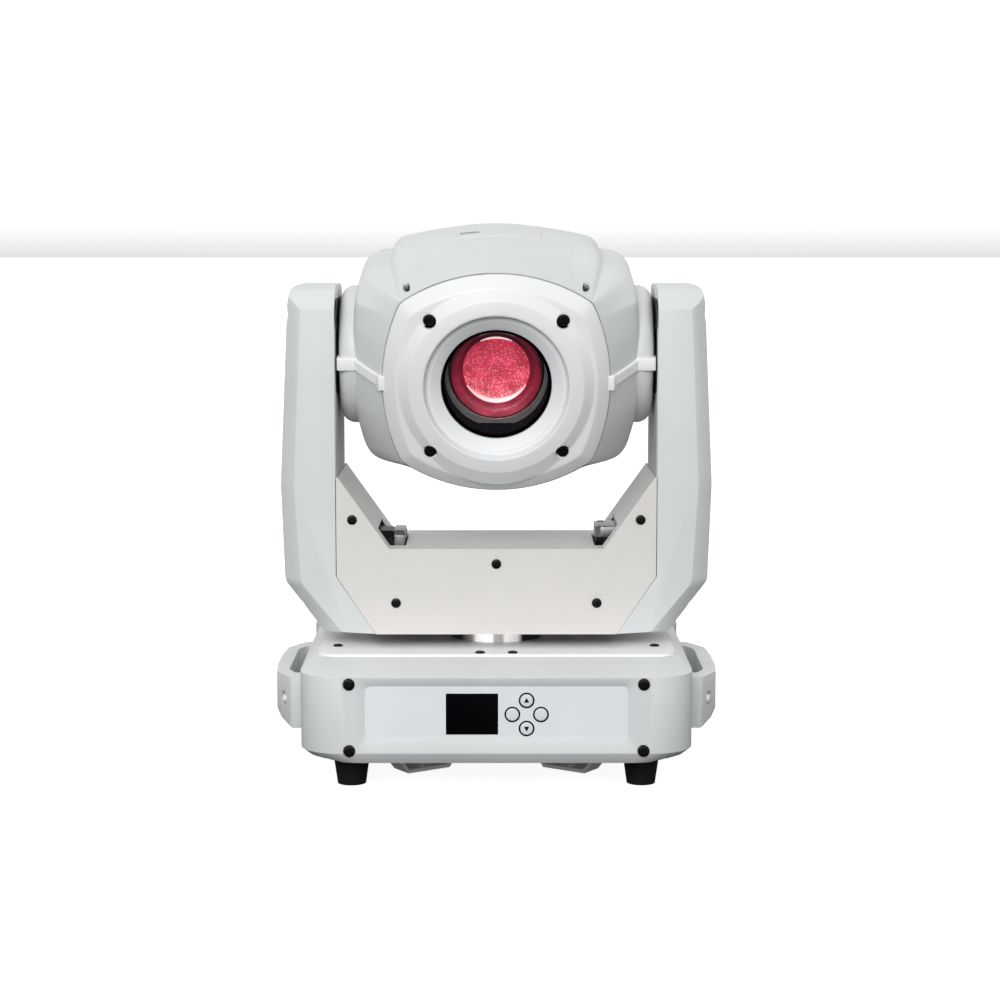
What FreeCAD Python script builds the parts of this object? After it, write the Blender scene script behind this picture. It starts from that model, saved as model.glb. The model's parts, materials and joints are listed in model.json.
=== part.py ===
"""Moving head stage light: a base, a panning yoke and a tilting head, as separate pieces.

Millimetres.  The origin is on the floor under the pan axis, +Z is up, and the control panel
faces -Y.  The head is drawn level, in a frame of its own on the tilt axis, and then placed.
"""
import os
import re

import FreeCAD
import Part
import Sketcher

V = FreeCAD.Vector
doc = FreeCAD.newDocument("moving_head_light")
sheet = doc.addObject("Spreadsheet::Sheet", "dims")

# ---------------------------------------------------------------- driving dimensions
DIMENSIONS = {
    "gap": 0.3,                 # air between parts that move past each other
    "fit": 0.05,                # radial clearance of a shaft in its hole
    "metal": 2,                 # sheet metal
    "wall": 3,                  # moulded plastic
    "screw_head": 4,            # radius, as are all the round sizes here
    "screw_rise": 1.6,
    "screw_shank": 2,
    "screw_length": 8,
    # base
    "base_width": 314,
    "base_depth": 264,
    "base_corner": 32,
    "base_low": 24.5,
    "base_crease": 94.5,
    "base_top": 105,
    "deck_width": 290,
    "deck_depth": 180,
    "deck_corner": 16,
    "deck_rim": 8,
    "deck_screw_x": 130,
    "deck_screw_y": 53,
    "deck_front_screw_x": 13.2,
    "deck_front_screw_y": 83.5,
    "hood_width": 322,
    "hood_depth": 36,
    "hood_low": 60,
    "hood_corner": 20,
    "shell_screw_x": 116.4,
    "shell_screw_high": 88.6,
    "shell_screw_low": 35.1,
    "shell_screw_head": 4.6,
    "foot_x": 117,
    "foot_y": 91,
    "foot_low_radius": 11.5,
    "foot_top_radius": 15,
    # control panel
    "panel_width": 206,
    "panel_low": 45.5,
    "panel_high": 88,
    "panel_lap": 4,
    "display_x": -19.5,
    "display_width": 41.4,
    "display_height": 33,
    "display_z": 64.5,
    "key_x": 23.9,
    "key_z": 64.1,
    "key_pitch": 11.3,
    "key_radius": 5.6,
    "key_rise": 1.2,
    "key_length": 5,
    "key_flange": 1.2,
    "board": 1.6,
    "switch": 6,
    "switch_height": 4,
    # side handles
    "grip_reach": 183,
    "grip_shoulder": 174,
    "grip_end": 78,
    "grip_low": 42,
    "grip_high": 84,
    "grip_bar": 12,
    "grip_gap_end": 57,
    "grip_screw_z": 62,
    "grip_screw_y": 67,
    # rear connectors
    "rear_width": 216,
    "rear_low": 34,
    "rear_high": 90,
    "socket_z": 62,
    "socket_flange": 26,
    "socket_height": 31,
    "socket_radius": 11.5,
    "socket_bore": 9.5,
    "socket_depth": 22,
    "socket_pitch": 31,
    "contact_radius": 1.2,
    "contact_length": 7,
    "fuse_cap_radius": 10,
    "fuse_radius": 8,
    "fuse_length": 26,
    # electronics in the base
    "supply_x": -80,
    "supply_y": 52,
    "supply_height": 46,
    "main_x": 90,
    "main_y": -20,
    "post_height": 8,
    # rigging brackets and the safety eye
    "omega_x": 61.5,
    "omega_y": 50,
    "omega_angle": 34,
    "omega_flat": 40,
    "omega_run": 15,
    "omega_hole_x": 42,
    "omega_strip": 22,
    "omega_low": 2,
    "clamp_hole": 6.5,
    "stud_radius": 4,
    "stud_head": 5.5,
    "eye_radius": 13,
    "eye_wire": 3,
    "eye_y": 70,
    "stud_rise": 3,
    "pin_half": 7,
    "pin_height": 2.4,
    # pan drive
    "shaft_radius": 19.5,
    "shaft_bore": 12,
    "hub_radius": 38.5,
    "pan_ring": 42,
    "drive_wheel": 9,
    "belt": 1.6,
    "belt_width": 11,
    "pan_belt_low": 129.5,
    "pan_motor_x": 103.5,
    "pan_motor_top": 200,
    "motor_size": 42,
    "motor_length": 55,
    "motor_shaft": 2.5,
    # yoke
    "yoke_half": 58,
    "yoke_low": 115.5,
    "floor": 3,
    "saddle_top": 186,
    "saddle_half": 87.5,
    "incline_half": 129,
    "incline_top": 244.5,
    "window_half": 36,
    "arm_inner": 130.5,
    "arm_top_half": 169.4,
    "arm_shoulder": 386,
    "arm_crease": 381,
    "arm_screw_y": 34,
    "arm_screw_high": 374,
    "arm_screw_low": 136,
    "arm_mid_half": 176.4,
    "arm_mid": 238,
    "knee_half": 173.5,
    "knee": 158,
    "arm_low_half": 145.6,
    "seam_knee": 163,
    "seam_half": 98.5,
    "cover_screw_x": 117.5,
    "cover_screw_high": 210,
    "cover_screw_mid": 173.7,
    "cover_screw_low_x": 82,
    "cover_screw_low": 141.5,
    "tilt_motor_z": 175,
    # tilt axis
    "tilt_z": 342,
    "rest_tilt": 9,
    "axle_radius": 15,
    "axle_bore": 9,
    "axle_hub": 28.5,
    "bearing_radius": 24,
    "bearing_width": 9,
    "tilt_ring": 40,
    "tilt_belt_x": 146,
    # head, level, with its front towards -Y
    "cheek_radius": 57,
    "cheek_half": 128,
    "head_front": 95,
    "head_back": 126,
    "shell_inside": 0.965,
    "chassis_half": 95,
    "chassis_rise": 42,
    "front_plate": 70,
    "effects_plate": 8,
    "beam_plate": 43,
    "sink_plate": 60,
    "bezel_arc": 150,
    "bezel_half_width": 91,
    "bezel_half_height": 87,
    "bezel_flank": 80,
    "bezel_ring": 71.6,
    "bezel_crown": 63,
    "bezel_rim": 57,
    "bezel_throat": 43.5,
    "bezel_front": 122,
    "bezel_back": 106,
    "bezel_screw": 52.7,
    "bezel_sheet": 4,
    "bezel_flank_rise": 17,
    "bezel_recess": 5.5,
    "lens_radius": 42.8,
    "wheel_radius": 44,
    "wheel_offset": 38,
    "wheel_hole": 11,
    "rod_x": 52,
    "rod_radius": 3,
    "focus_y": 33,
    "focus_width": 6,
    "focus_seat": 26,
    "beam_hole": 18,
    "wheel_motor": 14,
    "wheel_motor_length": 15,
    "wheel_sheet": 1.5,
    "prism_x": 36,
    "prism_ring": 24,
    "prism_seat": 20,
    "prism_facet": 18,
    "prism_arm": 4,
    "led_half": 30,
    "led_dome": 12,
    "fin_half": 16,
    "fan_half": 46,
    "fan_depth": 25,
    "fan_front": 96,
}
for row, (alias, number) in enumerate(DIMENSIONS.items(), start=1):
    sheet.set(f"A{row}", alias)
    sheet.set(f"B{row}", str(number))
    sheet.setAlias(f"B{row}", alias)
doc.recompute()

answers = doc.addObject("Spreadsheet::Sheet", "answers")
SIDES = {"left": -1, "right": 1}
ENDS = {"front": -1, "rear": 1}


# ---------------------------------------------------------------- building blocks
def formula(text):
    """The text as an expression in which every alias is looked up in the sheet."""
    return re.sub(r"[a-z_]+", lambda m: "dims." + m[0] if m[0] in DIMENSIONS else m[0], str(text))


def number(text):
    """What a formula comes to with the sheet's present numbers."""
    answers.set("A1", f"={formula(text)}")
    answers.recompute()
    return float(answers.get("A1"))


def bind(obj, paths):
    for path, text in paths.items():
        obj.setExpression(path, formula(text))
    return obj


def move(obj, start):
    x, y, z = start
    return bind(obj, {"Placement.Base.x": x, "Placement.Base.y": y, "Placement.Base.z": z})


def box(name, dims, start):
    """A block with its lowest corner at start."""
    made = doc.addObject("Part::Box", name)
    length, width, height = dims
    bind(made, {"Length": length, "Width": width, "Height": height})
    return move(made, start)


def slab(name, half_x, half_y, low, height, middle=(0, 0)):
    """A block centred on middle in plan."""
    x, y = middle
    start = (f"{x} - ({half_x})", f"{y} - ({half_y})", low)
    return box(name, (f"2 * ({half_x})", f"2 * ({half_y})", height), start)


TURNS = {"X": FreeCAD.Rotation(V(0, 1, 0), 90), "Y": FreeCAD.Rotation(V(1, 0, 0), -90),
         "Z": FreeCAD.Rotation()}


def rod(name, radius, length, start, axis="Z"):
    """A cylinder that runs from start towards the positive axis."""
    made = doc.addObject("Part::Cylinder", name)
    made.Placement = FreeCAD.Placement(V(), TURNS[axis])
    bind(made, {"Radius": radius, "Height": length})
    return move(made, start)


def cone(name, low_radius, top_radius, height, start):
    made = doc.addObject("Part::Cone", name)
    bind(made, {"Radius1": low_radius, "Radius2": top_radius, "Height": height})
    return move(made, start)


def fuse(name, shapes):
    made = doc.addObject("Part::MultiFuse", name)
    made.Shapes = shapes
    return made


def group(name, shapes):
    """Separate solids that share one node."""
    made = doc.addObject("Part::Compound", name)
    made.Links = shapes
    return made


def common(name, shapes):
    made = doc.addObject("Part::MultiCommon", name)
    made.Shapes = shapes
    return made


def cut(name, base, tools):
    made = doc.addObject("Part::Cut", name)
    made.Base = base
    made.Tool = tools[0] if len(tools) == 1 else group(f"{name}_tools", tools)
    return made


def ring(name, outer, inner, length, start, axis="Z"):
    body = rod(f"{name}_outside", outer, length, start, axis)
    return cut(name, body, [rod(f"{name}_inside", inner, length, start, axis)])


def origin_plane(body, role):
    return next(plane for plane in body.Origin.OriginFeatures if plane.Role == role)


def outline(body, name, role, offset, points):
    """A closed sketch of straight lines whose corners are bound to formulas."""
    sketch = body.newObject("Sketcher::SketchObject", name)
    sketch.AttachmentSupport = (origin_plane(body, role), [""])
    sketch.MapMode = "FlatFace"
    sketch.setExpression("AttachmentOffset.Base.z", formula(offset))
    corners = [V(number(x), number(y), 0) for x, y in points]
    count = len(corners)
    for index in range(count):
        sketch.addGeometry(Part.LineSegment(corners[index], corners[(index + 1) % count]), False)
    for index in range(count):
        sketch.addConstraint(Sketcher.Constraint("Coincident", index, 2, (index + 1) % count, 1))
    for index, (x, y) in enumerate(points):
        for kind, text, start in (("DistanceX", x, corners[index].x), ("DistanceY", y, corners[index].y)):
            place = sketch.addConstraint(Sketcher.Constraint(kind, -1, 1, index, 1, start))
            sketch.setExpression(f"Constraints[{place}]", formula(text))
    return sketch


def new_body(name):
    return doc.addObject("PartDesign::Body", name)


def pad(body, name, role, offset, points, length):
    """Extrude an outline: up from XY, forward (-Y) from XZ, to the right (+X) from YZ."""
    feature = body.newObject("PartDesign::Pad", name)
    feature.Profile = outline(body, f"{name}_outline", role, offset, points)
    feature.setExpression("Length", formula(length))
    doc.recompute()
    return feature


def pocket(body, name, role, offset, points, length):
    """Cut an outline away, in the same direction in which pad() adds one."""
    before = body.Shape.Volume
    feature = body.newObject("PartDesign::Pocket", name)
    feature.Profile = outline(body, f"{name}_outline", role, offset, points)
    feature.setExpression("Length", formula(length))
    feature.Reversed = True
    doc.recompute()
    assert body.Shape.Volume < before - 1, f"{name} cuts nothing"
    return feature


def loft(body, name, sections):
    """Join outlines, each (plane offset, points) on an XZ plane, with ruled faces."""
    profiles = [outline(body, f"{name}_{index}", "XZ_Plane", offset, points)
                for index, (offset, points) in enumerate(sections)]
    feature = body.newObject("PartDesign::AdditiveLoft", name)
    feature.Profile = profiles[0]
    feature.Sections = profiles[1:]
    feature.Ruled = True
    doc.recompute()
    return feature


def round_upright_edges(body, name, radius, wanted):
    """Fillet the vertical edges whose middle passes the test."""
    base = body.Tip
    names = []
    for index, edge in enumerate(base.Shape.Edges, start=1):
        first, last = edge.Vertexes[0].Point, edge.Vertexes[-1].Point
        upright = abs(first.x - last.x) < 1e-6 and abs(first.y - last.y) < 1e-6
        if upright and wanted(edge.CenterOfMass):
            names.append(f"Edge{index}")
    feature = body.newObject("PartDesign::Fillet", name)
    feature.Base = (base, names)
    feature.setExpression("Radius", formula(radius))
    doc.recompute()
    return feature


def rectangle(left, right, low, high):
    return [(left, low), (right, low), (right, high), (left, high)]


def centred(half_x, half_y):
    return rectangle(f"-({half_x})", half_x, f"-({half_y})", half_y)


def any_edge(middle):
    return True


def screws(name, places, axis, way, head="screw_head"):
    """Round-headed screws on a face: each head stands out the given way, its shank goes in."""
    made = []
    for index, (x, y, z) in enumerate(places):
        start = [x, y, z]
        at = "XYZ".index(axis)
        head_start, shank_start = list(start), list(start)
        if way > 0:
            shank_start[at] = f"{start[at]} - screw_length"
        else:
            head_start[at] = f"{start[at]} - screw_rise"
        pieces = [rod(f"{name}_head_{index}", head, "screw_rise", head_start, axis),
                  rod(f"{name}_shank_{index}", "screw_shank", "screw_length", shank_start, axis)]
        made.append(fuse(f"{name}_{index}", pieces))
    return group(name, made)


def drilled(name, base, places, radius, depth, axis):
    """The base with straight holes, each starting at its place and running along the axis."""
    holes = [rod(f"{name}_hole_{index}", radius, depth, place, axis)
             for index, place in enumerate(places)]
    return cut(name, base, holes)


def in_head(obj):
    """Carry a level head piece to the tilt axis, at the angle at which the head rests."""
    obj.Placement = FreeCAD.Placement(V(), FreeCAD.Rotation(V(1, 0, 0), DIMENSIONS["rest_tilt"]))
    bind(obj, {"Placement.Base.z": "tilt_z", "Placement.Rotation.Angle": "rest_tilt"})
    return obj


PIECES = []


def piece(obj, label):
    """Register a finished sub-part under the name that its file gets."""
    obj.Label = label
    PIECES.append(obj)
    return obj


def head_piece(obj, label):
    return piece(in_head(group(f"{label}_node", [obj])), label)


# ---------------------------------------------------------------- base
SHELL_SCREWS = [(f"{side} * shell_screw_x", height) for side in SIDES.values()
                for height in ("shell_screw_high", "shell_screw_low")]
DECK_SCREWS = [(f"{side} * deck_screw_x", f"{end} * deck_screw_y")
               for side in SIDES.values() for end in ENDS.values()]
DECK_SCREWS += [(f"{side} * deck_front_screw_x", f"{end} * deck_front_screw_y")
                for side in SIDES.values() for end in ENDS.values()]
TUB_CORNER = DIMENSIONS["base_corner"] - DIMENSIONS["wall"]


def rounded_block(name, block):
    """A block whose upright edges follow the inside of the tub's corners."""
    doc.recompute()
    made = doc.addObject("Part::Fillet", name)
    made.Base = block
    made.Edges = [(index, TUB_CORNER, TUB_CORNER)
                  for index, edge in enumerate(block.Shape.Edges, start=1)
                  if abs(edge.Vertexes[0].Z - edge.Vertexes[-1].Z) > 1]
    return made


def make_base_shell():
    """Moulded tub: rounded block, sloping shoulders, rear hood, hollow from below."""
    tub = new_body("tub")
    pad(tub, "block", "XY_Plane", "base_low", centred("base_width / 2", "base_depth / 2"),
        "base_top - metal - base_low")
    round_upright_edges(tub, "block_corners", "base_corner", any_edge)
    ridge = "base_top - metal"
    for side in SIDES.values():
        wedge = [(f"{side} * (base_width / 2 + 1)", "base_crease"),
                 (f"{side} * base_width / 2", "base_crease"),
                 (f"{side} * deck_width / 2", ridge),
                 (f"{side} * deck_width / 2", f"{ridge} + 1"),
                 (f"{side} * (base_width / 2 + 1)", f"{ridge} + 1")]
        pocket(tub, f"side_slope_{side + 1}", "XZ_Plane", "-base_depth / 2 - 1", wedge, "base_depth + 2")
    front_wedge = [("-base_depth / 2 - 1", "base_crease"), ("-base_depth / 2", "base_crease"),
                   ("-deck_depth / 2", ridge), ("-deck_depth / 2", f"{ridge} + 1"),
                   ("-base_depth / 2 - 1", f"{ridge} + 1")]
    pocket(tub, "front_slope", "YZ_Plane", "-base_width / 2 - 1", front_wedge, "base_width + 2")
    hood = rectangle("-hood_width / 2", "hood_width / 2", "base_depth / 2 - hood_depth",
                     "base_depth / 2 - 1")
    pad(tub, "hood", "XY_Plane", "hood_low", hood, f"{ridge} - 0.5 - hood_low")
    behind = DIMENSIONS["base_depth"] / 2 - DIMENSIONS["hood_depth"] / 2
    round_upright_edges(tub, "hood_corners", "hood_corner", lambda middle: middle.y > behind and
                        abs(middle.x) > DIMENSIONS["hood_width"] / 2 - 1)
    hollow = slab("tub_hollow", "base_width / 2 - wall", "base_depth / 2 - wall", "base_low - 1",
                  "base_crease - wall - base_low + 1")
    rounded = rounded_block("tub_hollow_rounded", hollow)
    well = slab("tub_well", "deck_width / 2 - deck_rim", "deck_depth / 2 - deck_rim", "base_low",
                "base_top - base_low")
    front_hole = box("tub_front_hole", ("panel_width", "wall + 1", "panel_high - panel_low"),
                     ("-panel_width / 2", "-base_depth / 2 - 0.5", "panel_low"))
    rear_hole = box("tub_rear_hole", ("rear_width", "wall + 1", "rear_high - rear_low"),
                    ("-rear_width / 2", "base_depth / 2 - wall - 0.5", "rear_low"))
    holes = [rod(f"tub_screw_hole_{index}", "screw_shank + gap", "base_depth + 2",
                 (x, "-base_depth / 2 - 1", z), "Y") for index, (x, z) in enumerate(SHELL_SCREWS)]
    shell = cut("base_shell_cut", tub, [rounded, well, front_hole, rear_hole] + holes)
    deck_holes = [(x, y, "base_crease") for x, y in DECK_SCREWS]
    piece(drilled("base_shell", shell, deck_holes, "screw_shank + gap", "base_top - base_crease", "Z"),
          "base_shell")


def make_base_plates():
    bottom = slab("bottom_sheet", "base_width / 2 - wall - fit", "base_depth / 2 - wall - fit",
                  "base_low", "metal")
    rounded = rounded_block("bottom_rounded", bottom)
    studs = [(x, y, "base_low - 1") for x, y, _ in stud_places()]
    piece(drilled("bottom_plate_drilled", rounded, studs, "stud_radius", "metal + 2", "Z"),
          "base_bottom_plate")
    deck = new_body("deck")
    pad(deck, "deck_sheet", "XY_Plane", "base_top - metal", centred("deck_width / 2", "deck_depth / 2"),
        "metal")
    round_upright_edges(deck, "deck_corners", "deck_corner", any_edge)
    places = [(x, y, "base_crease") for x, y in DECK_SCREWS]
    opened = drilled("deck_opened", deck, [("0", "0", "base_crease")], "shaft_radius + fit", "20", "Z")
    piece(drilled("deck_drilled", opened, places, "screw_shank + gap", "20", "Z"), "base_top_plate")
    top = screws("deck_screw", [(x, y, "base_top") for x, y in DECK_SCREWS], "Z", 1)
    front = screws("shell_front", [(x, "-base_depth / 2", z) for x, z in SHELL_SCREWS], "Y", -1,
                   "shell_screw_head")
    rear = screws("shell_rear", [(x, "base_depth / 2", z) for x, z in SHELL_SCREWS], "Y", 1,
                  "shell_screw_head")
    places = {side: [(f"{side} * (grip_reach - 6)", f"{end} * grip_screw_y", "grip_screw_z")
                     for end in ENDS.values()] for side in SIDES.values()}
    grips = [screws(f"grip_screws_{label}", places[side], "X", side) for label, side in SIDES.items()]
    piece(group("base_screw_sets", [top, front, rear] + grips), "base_screws")


def make_feet():
    feet = [cone(f"foot_{side}_{end}", "foot_low_radius", "foot_top_radius", "base_low",
                 (f"{side} * foot_x", f"{end} * foot_y", 0))
            for side in SIDES.values() for end in ENDS.values()]
    piece(group("rubber_feet", feet), "rubber_feet")


KEYS = {"up": (0, 1), "menu": (-1, 0), "down": (0, -1), "enter": (1, 0)}
PANEL_FACE = "-base_depth / 2 + wall"


def key_place(key, y):
    across, along = KEYS[key]
    return (f"key_x + {across} * key_pitch", y, f"key_z + {along} * key_pitch")


def make_control_panel():
    """Overlay plate with a display window and four keys, and the board behind it."""
    plate = box("panel_plate", ("panel_width + 2 * panel_lap", "metal",
                                "panel_high - panel_low + 2 * panel_lap - 3"),
                ("-panel_width / 2 - panel_lap", PANEL_FACE, "panel_low - panel_lap + 2"))
    window = box("panel_window", ("display_width", "metal + 2", "display_height"),
                 ("display_x - display_width / 2", f"{PANEL_FACE} - 1", "display_z - display_height / 2"))
    places = [key_place(key, f"{PANEL_FACE} - 1") for key in KEYS]
    piece(drilled("panel_drilled", cut("panel_cut", plate, [window]), places, "key_radius + gap + 0.1",
                  "metal + 2", "Y"), "control_panel")
    glass = box("display_glass", ("display_width - gap", "metal", "display_height - gap"),
                ("display_x - (display_width - gap) / 2", f"{PANEL_FACE} + 0.5",
                 "display_z - (display_height - gap) / 2"))
    module = box("display_module", ("display_width + 8", "metal + 3", "display_height + 6"),
                 ("display_x - display_width / 2 - 4", f"{PANEL_FACE} + metal",
                  "display_z - display_height / 2 - 3"))
    piece(fuse("display_fused", [glass, module]), "display")
    board_y = f"{PANEL_FACE} + 2 * metal + 5"
    board = box("board_sheet", ("150", "board", "44"), ("-85", board_y, "42"))
    switches = []
    for key in KEYS:
        x, _, z = key_place(key, 0)
        switches.append(box(f"switch_{key}", ("switch", "switch_height", "switch"),
                            (f"{x} - switch / 2", f"{board_y} - switch_height", f"{z} - switch / 2")))
    control_board = fuse("control_board_fused", [board] + switches)
    for key in KEYS:
        stem = rod(f"{key}_stem", "key_radius", "key_length", key_place(key, f"{PANEL_FACE} - key_rise"), "Y")
        flange = rod(f"{key}_flange", "key_radius + key_flange", "key_flange",
                     key_place(key, f"{PANEL_FACE} - key_rise + key_length - key_flange"), "Y")
        piece(fuse(f"{key}_fused", [stem, flange]), f"button_{key}")
    return control_board


def make_side_handles():
    """A D-shaped carrying handle on each side, with its lower edge bevelled."""
    handles = []
    for label, side in SIDES.items():
        handle = new_body(f"handle_{label}")
        root = f"{side} * base_width / 2"
        outside = [(root, "-grip_end"), (f"{side} * grip_shoulder", "-grip_end + 3"),
                   (f"{side} * grip_reach", "-grip_gap_end"), (f"{side} * grip_reach", "grip_gap_end"),
                   (f"{side} * grip_shoulder", "grip_end - 3"), (root, "grip_end")]
        pad(handle, f"grip_{label}", "XY_Plane", "grip_low", outside, "grip_high - grip_low")
        inner = f"{side} * (grip_reach - grip_bar)"
        opening = [(f"{side} * (base_width / 2 - 1)", "-grip_gap_end"), (inner, "-grip_gap_end + 3"),
                   (inner, "grip_gap_end - 3"), (f"{side} * (base_width / 2 - 1)", "grip_gap_end")]
        pocket(handle, f"gap_{label}", "XY_Plane", "grip_low - 1", opening, "grip_high - grip_low + 2")
        beyond = f"{side} * (grip_reach + 1)"
        foot = f"{side} * (base_width / 2 + 4)"
        bevel = [(beyond, "grip_low - 1"), (beyond, "grip_high - 18"),
                 (f"{side} * grip_reach", "grip_high - 18"), (foot, "grip_low"), (foot, "grip_low - 1")]
        pocket(handle, f"bevel_{label}", "XZ_Plane", "-grip_end - 1", bevel, "2 * grip_end + 2")
        seats = [box(f"seat_{label}_{end}", (12, 11, 11),
                     (f"{side} * grip_reach - 6", f"{end} * grip_screw_y - 5.5", "grip_screw_z - 5.5"))
                 for end in ENDS.values()]
        bores = [rod(f"grip_hole_{label}_{end}", "screw_shank + fit", "30",
                     (f"{side} * 170 - 15", f"{end} * grip_screw_y", "grip_screw_z"), "X")
                 for end in ENDS.values()]
        handles.append(cut(f"handle_cut_{label}", handle, seats + bores))
    piece(group("handle_pair", handles), "side_handles")


SOCKETS = {                 # node, place along the panel in pitches, number of contacts
    "power_in": ("power_sockets", -3, 3),
    "power_out": ("power_sockets", -2, 3),
    "three_pin_in": ("data_sockets", 0, 3),
    "three_pin_out": ("data_sockets", 1, 3),
    "five_pin_in": ("data_sockets", 2, 5),
    "five_pin_out": ("data_sockets", 3, 5),
}
PIN_CIRCLE = 5.0


def make_rear_panel():
    """Connector plate with power and data sockets, each with its contacts, and a fuse holder."""
    face = "base_depth / 2 - wall - metal"
    plate = box("rear_plate", ("rear_width + 8", "metal", "rear_high - rear_low + 2"),
                ("-rear_width / 2 - 4", face, "rear_low - 1"))
    places = [(f"{place} * socket_pitch", f"{face} - 1", "socket_z") for _, place, _ in SOCKETS.values()]
    drilled_plate = drilled("rear_socket_holes", plate, places, "socket_radius + fit", "metal + 2", "Y")
    fuse_place = [("-socket_pitch", f"{face} - 1", "socket_z")]
    piece(drilled("rear_fuse_hole", drilled_plate, fuse_place, "fuse_radius + fit", "metal + 2", "Y"),
          "rear_panel")
    outer = f"{face} + metal"
    made = {"power_sockets": [], "data_sockets": []}
    for label, (node, place, pins) in SOCKETS.items():
        x = f"{place} * socket_pitch"
        flange = box(f"{label}_flange", ("socket_flange", "metal", "socket_height"),
                     (f"{x} - socket_flange / 2", outer, "socket_z - socket_height / 2"))
        bottom = f"{outer} - socket_depth"
        barrel = rod(f"{label}_barrel", "socket_radius", "socket_depth", (x, bottom, "socket_z"), "Y")
        recess = rod(f"{label}_recess", "socket_bore", "socket_depth", (x, f"{bottom} + 5", "socket_z"), "Y")
        shell = cut(f"{label}_shell", fuse(f"{label}_solid", [flange, barrel]), [recess])
        contacts = []
        for index in range(pins):
            turn = FreeCAD.Rotation(V(0, 1, 0), 360 / pins * (index + 0.5))
            offset = turn.multVec(V(PIN_CIRCLE, 0, 0))
            contacts.append(rod(f"{label}_contact_{index}", "contact_radius", "contact_length",
                                (f"{x} + {offset.x:.3f}", f"{bottom} + 4.5",
                                 f"socket_z + {offset.z:.3f}"), "Y"))
        made[node].append(fuse(f"{label}_fused", [shell] + contacts))
    holder = fuse("fuse_holder_fused", [
        rod("fuse_cap", "fuse_cap_radius", "2.4", ("-socket_pitch", outer, "socket_z"), "Y"),
        rod("fuse_body", "fuse_radius", "fuse_length",
            ("-socket_pitch", f"{outer} - fuse_length", "socket_z"), "Y")])
    made["power_sockets"].append(holder)
    for node, sockets in made.items():
        piece(group(f"{node}_set", sockets), node)


def make_base_electronics(control_board):
    """Supply box, main board on posts with its chips, and the board behind the control panel."""
    floor = "base_low + metal"
    middle = ("main_x", "main_y")
    supply = slab("supply_box", 60, 34, floor, "supply_height", ("supply_x", "supply_y"))
    board = slab("main_sheet", 42, 45, f"{floor} + post_height", "board", middle)
    chips = [slab(f"main_chip_{index}", 7, 9, f"{floor} + post_height + board", 4,
                  (f"main_x - 28 + 22 * {index}", f"main_y - 10 + 14 * {index}"))
             for index in range(3)]
    posts = [rod(f"main_post_{x}_{y}", "3", "post_height",
                 (f"main_x + 36 * {x}", f"main_y + 38 * {y}", floor))
             for x in (-1, 1) for y in (-1, 1)]
    main = fuse("main_board_fused", [board] + chips + posts)
    piece(group("base_electronics_set", [supply, main, control_board]), "base_electronics")


# ---------------------------------------------------------------- rigging
def omega_frame(side):
    """Where a bracket's own frame lies: its length runs along X before it is turned."""
    return FreeCAD.Rotation(V(0, 0, 1), -side * DIMENSIONS["omega_angle"])


def stud_places():
    """The axis of each quarter-turn stud in plan, and the name of its place."""
    places = []
    for label, side in SIDES.items():
        for word, way in (("outer", side), ("inner", -side)):
            reach = omega_frame(side).multVec(V(way * DIMENSIONS["omega_hole_x"], 0, 0))
            places.append((f"{side} * omega_x + {reach.x:.4f}", f"-omega_y + {reach.y:.4f}",
                           f"{label}_{word}"))
    return places


def make_omega_brackets():
    """Bent steel strips: a flat with the clamp hole, two slopes, and two wings under the base."""
    brackets = []
    for label, side in SIDES.items():
        strip = new_body(f"omega_{label}")
        half = "omega_flat / 2"
        wing = "omega_flat / 2 + omega_run"
        tip = "omega_hole_x + omega_strip / 2"
        top = "base_low"
        shape = [(f"-({half})", "omega_low"), (half, "omega_low"),
                 (f"{wing} + 1", f"{top} - wall"), (tip, f"{top} - wall"), (tip, top), (wing, top),
                 (f"{half} - 1", "omega_low + wall"), (f"-({half}) + 1", "omega_low + wall"),
                 (f"-({wing})", top), (f"-({tip})", top), (f"-({tip})", f"{top} - wall"),
                 (f"-({wing}) - 1", f"{top} - wall")]
        pad(strip, f"strip_{label}", "XZ_Plane", "-omega_strip / 2", shape, "omega_strip")
        holes = [rod(f"omega_clamp_{label}", "clamp_hole", "wall + 2", (0, 0, "omega_low - 1"))]
        holes += [rod(f"omega_stud_{label}_{way}", "stud_radius", "wall + 2",
                      (f"{way} * omega_hole_x", 0, f"{top} - wall - 1")) for way in (-1, 1)]
        bracket = cut(f"omega_cut_{label}", strip, holes)
        bracket.Placement = FreeCAD.Placement(V(), omega_frame(side))
        move(bracket, (f"{side} * omega_x", "-omega_y", 0))
        brackets.append(bracket)
    piece(group("omega_pair", brackets), "omega_brackets")
    for x, y, word in stud_places():
        head = rod(f"stud_head_{word}", "stud_head", "stud_rise", (x, y, "base_low - wall - gap - stud_rise"))
        slot = slab(f"stud_slot_{word}", "stud_head + 1", "0.8",
                    "base_low - wall - gap - stud_rise - 1", "2", (x, y))
        shank = rod(f"stud_shank_{word}", "stud_radius - fit", "wall + metal + 4",
                    (x, y, "base_low - wall - gap - 1"))
        pin = slab(f"stud_pin_{word}", "pin_half", "1.5", "base_low + metal + gap", "pin_height", (x, y))
        piece(cut(f"stud_{word}", fuse(f"stud_solid_{word}", [head, shank, pin]), [slot]),
              f"quarter_turn_{word}")


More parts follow.
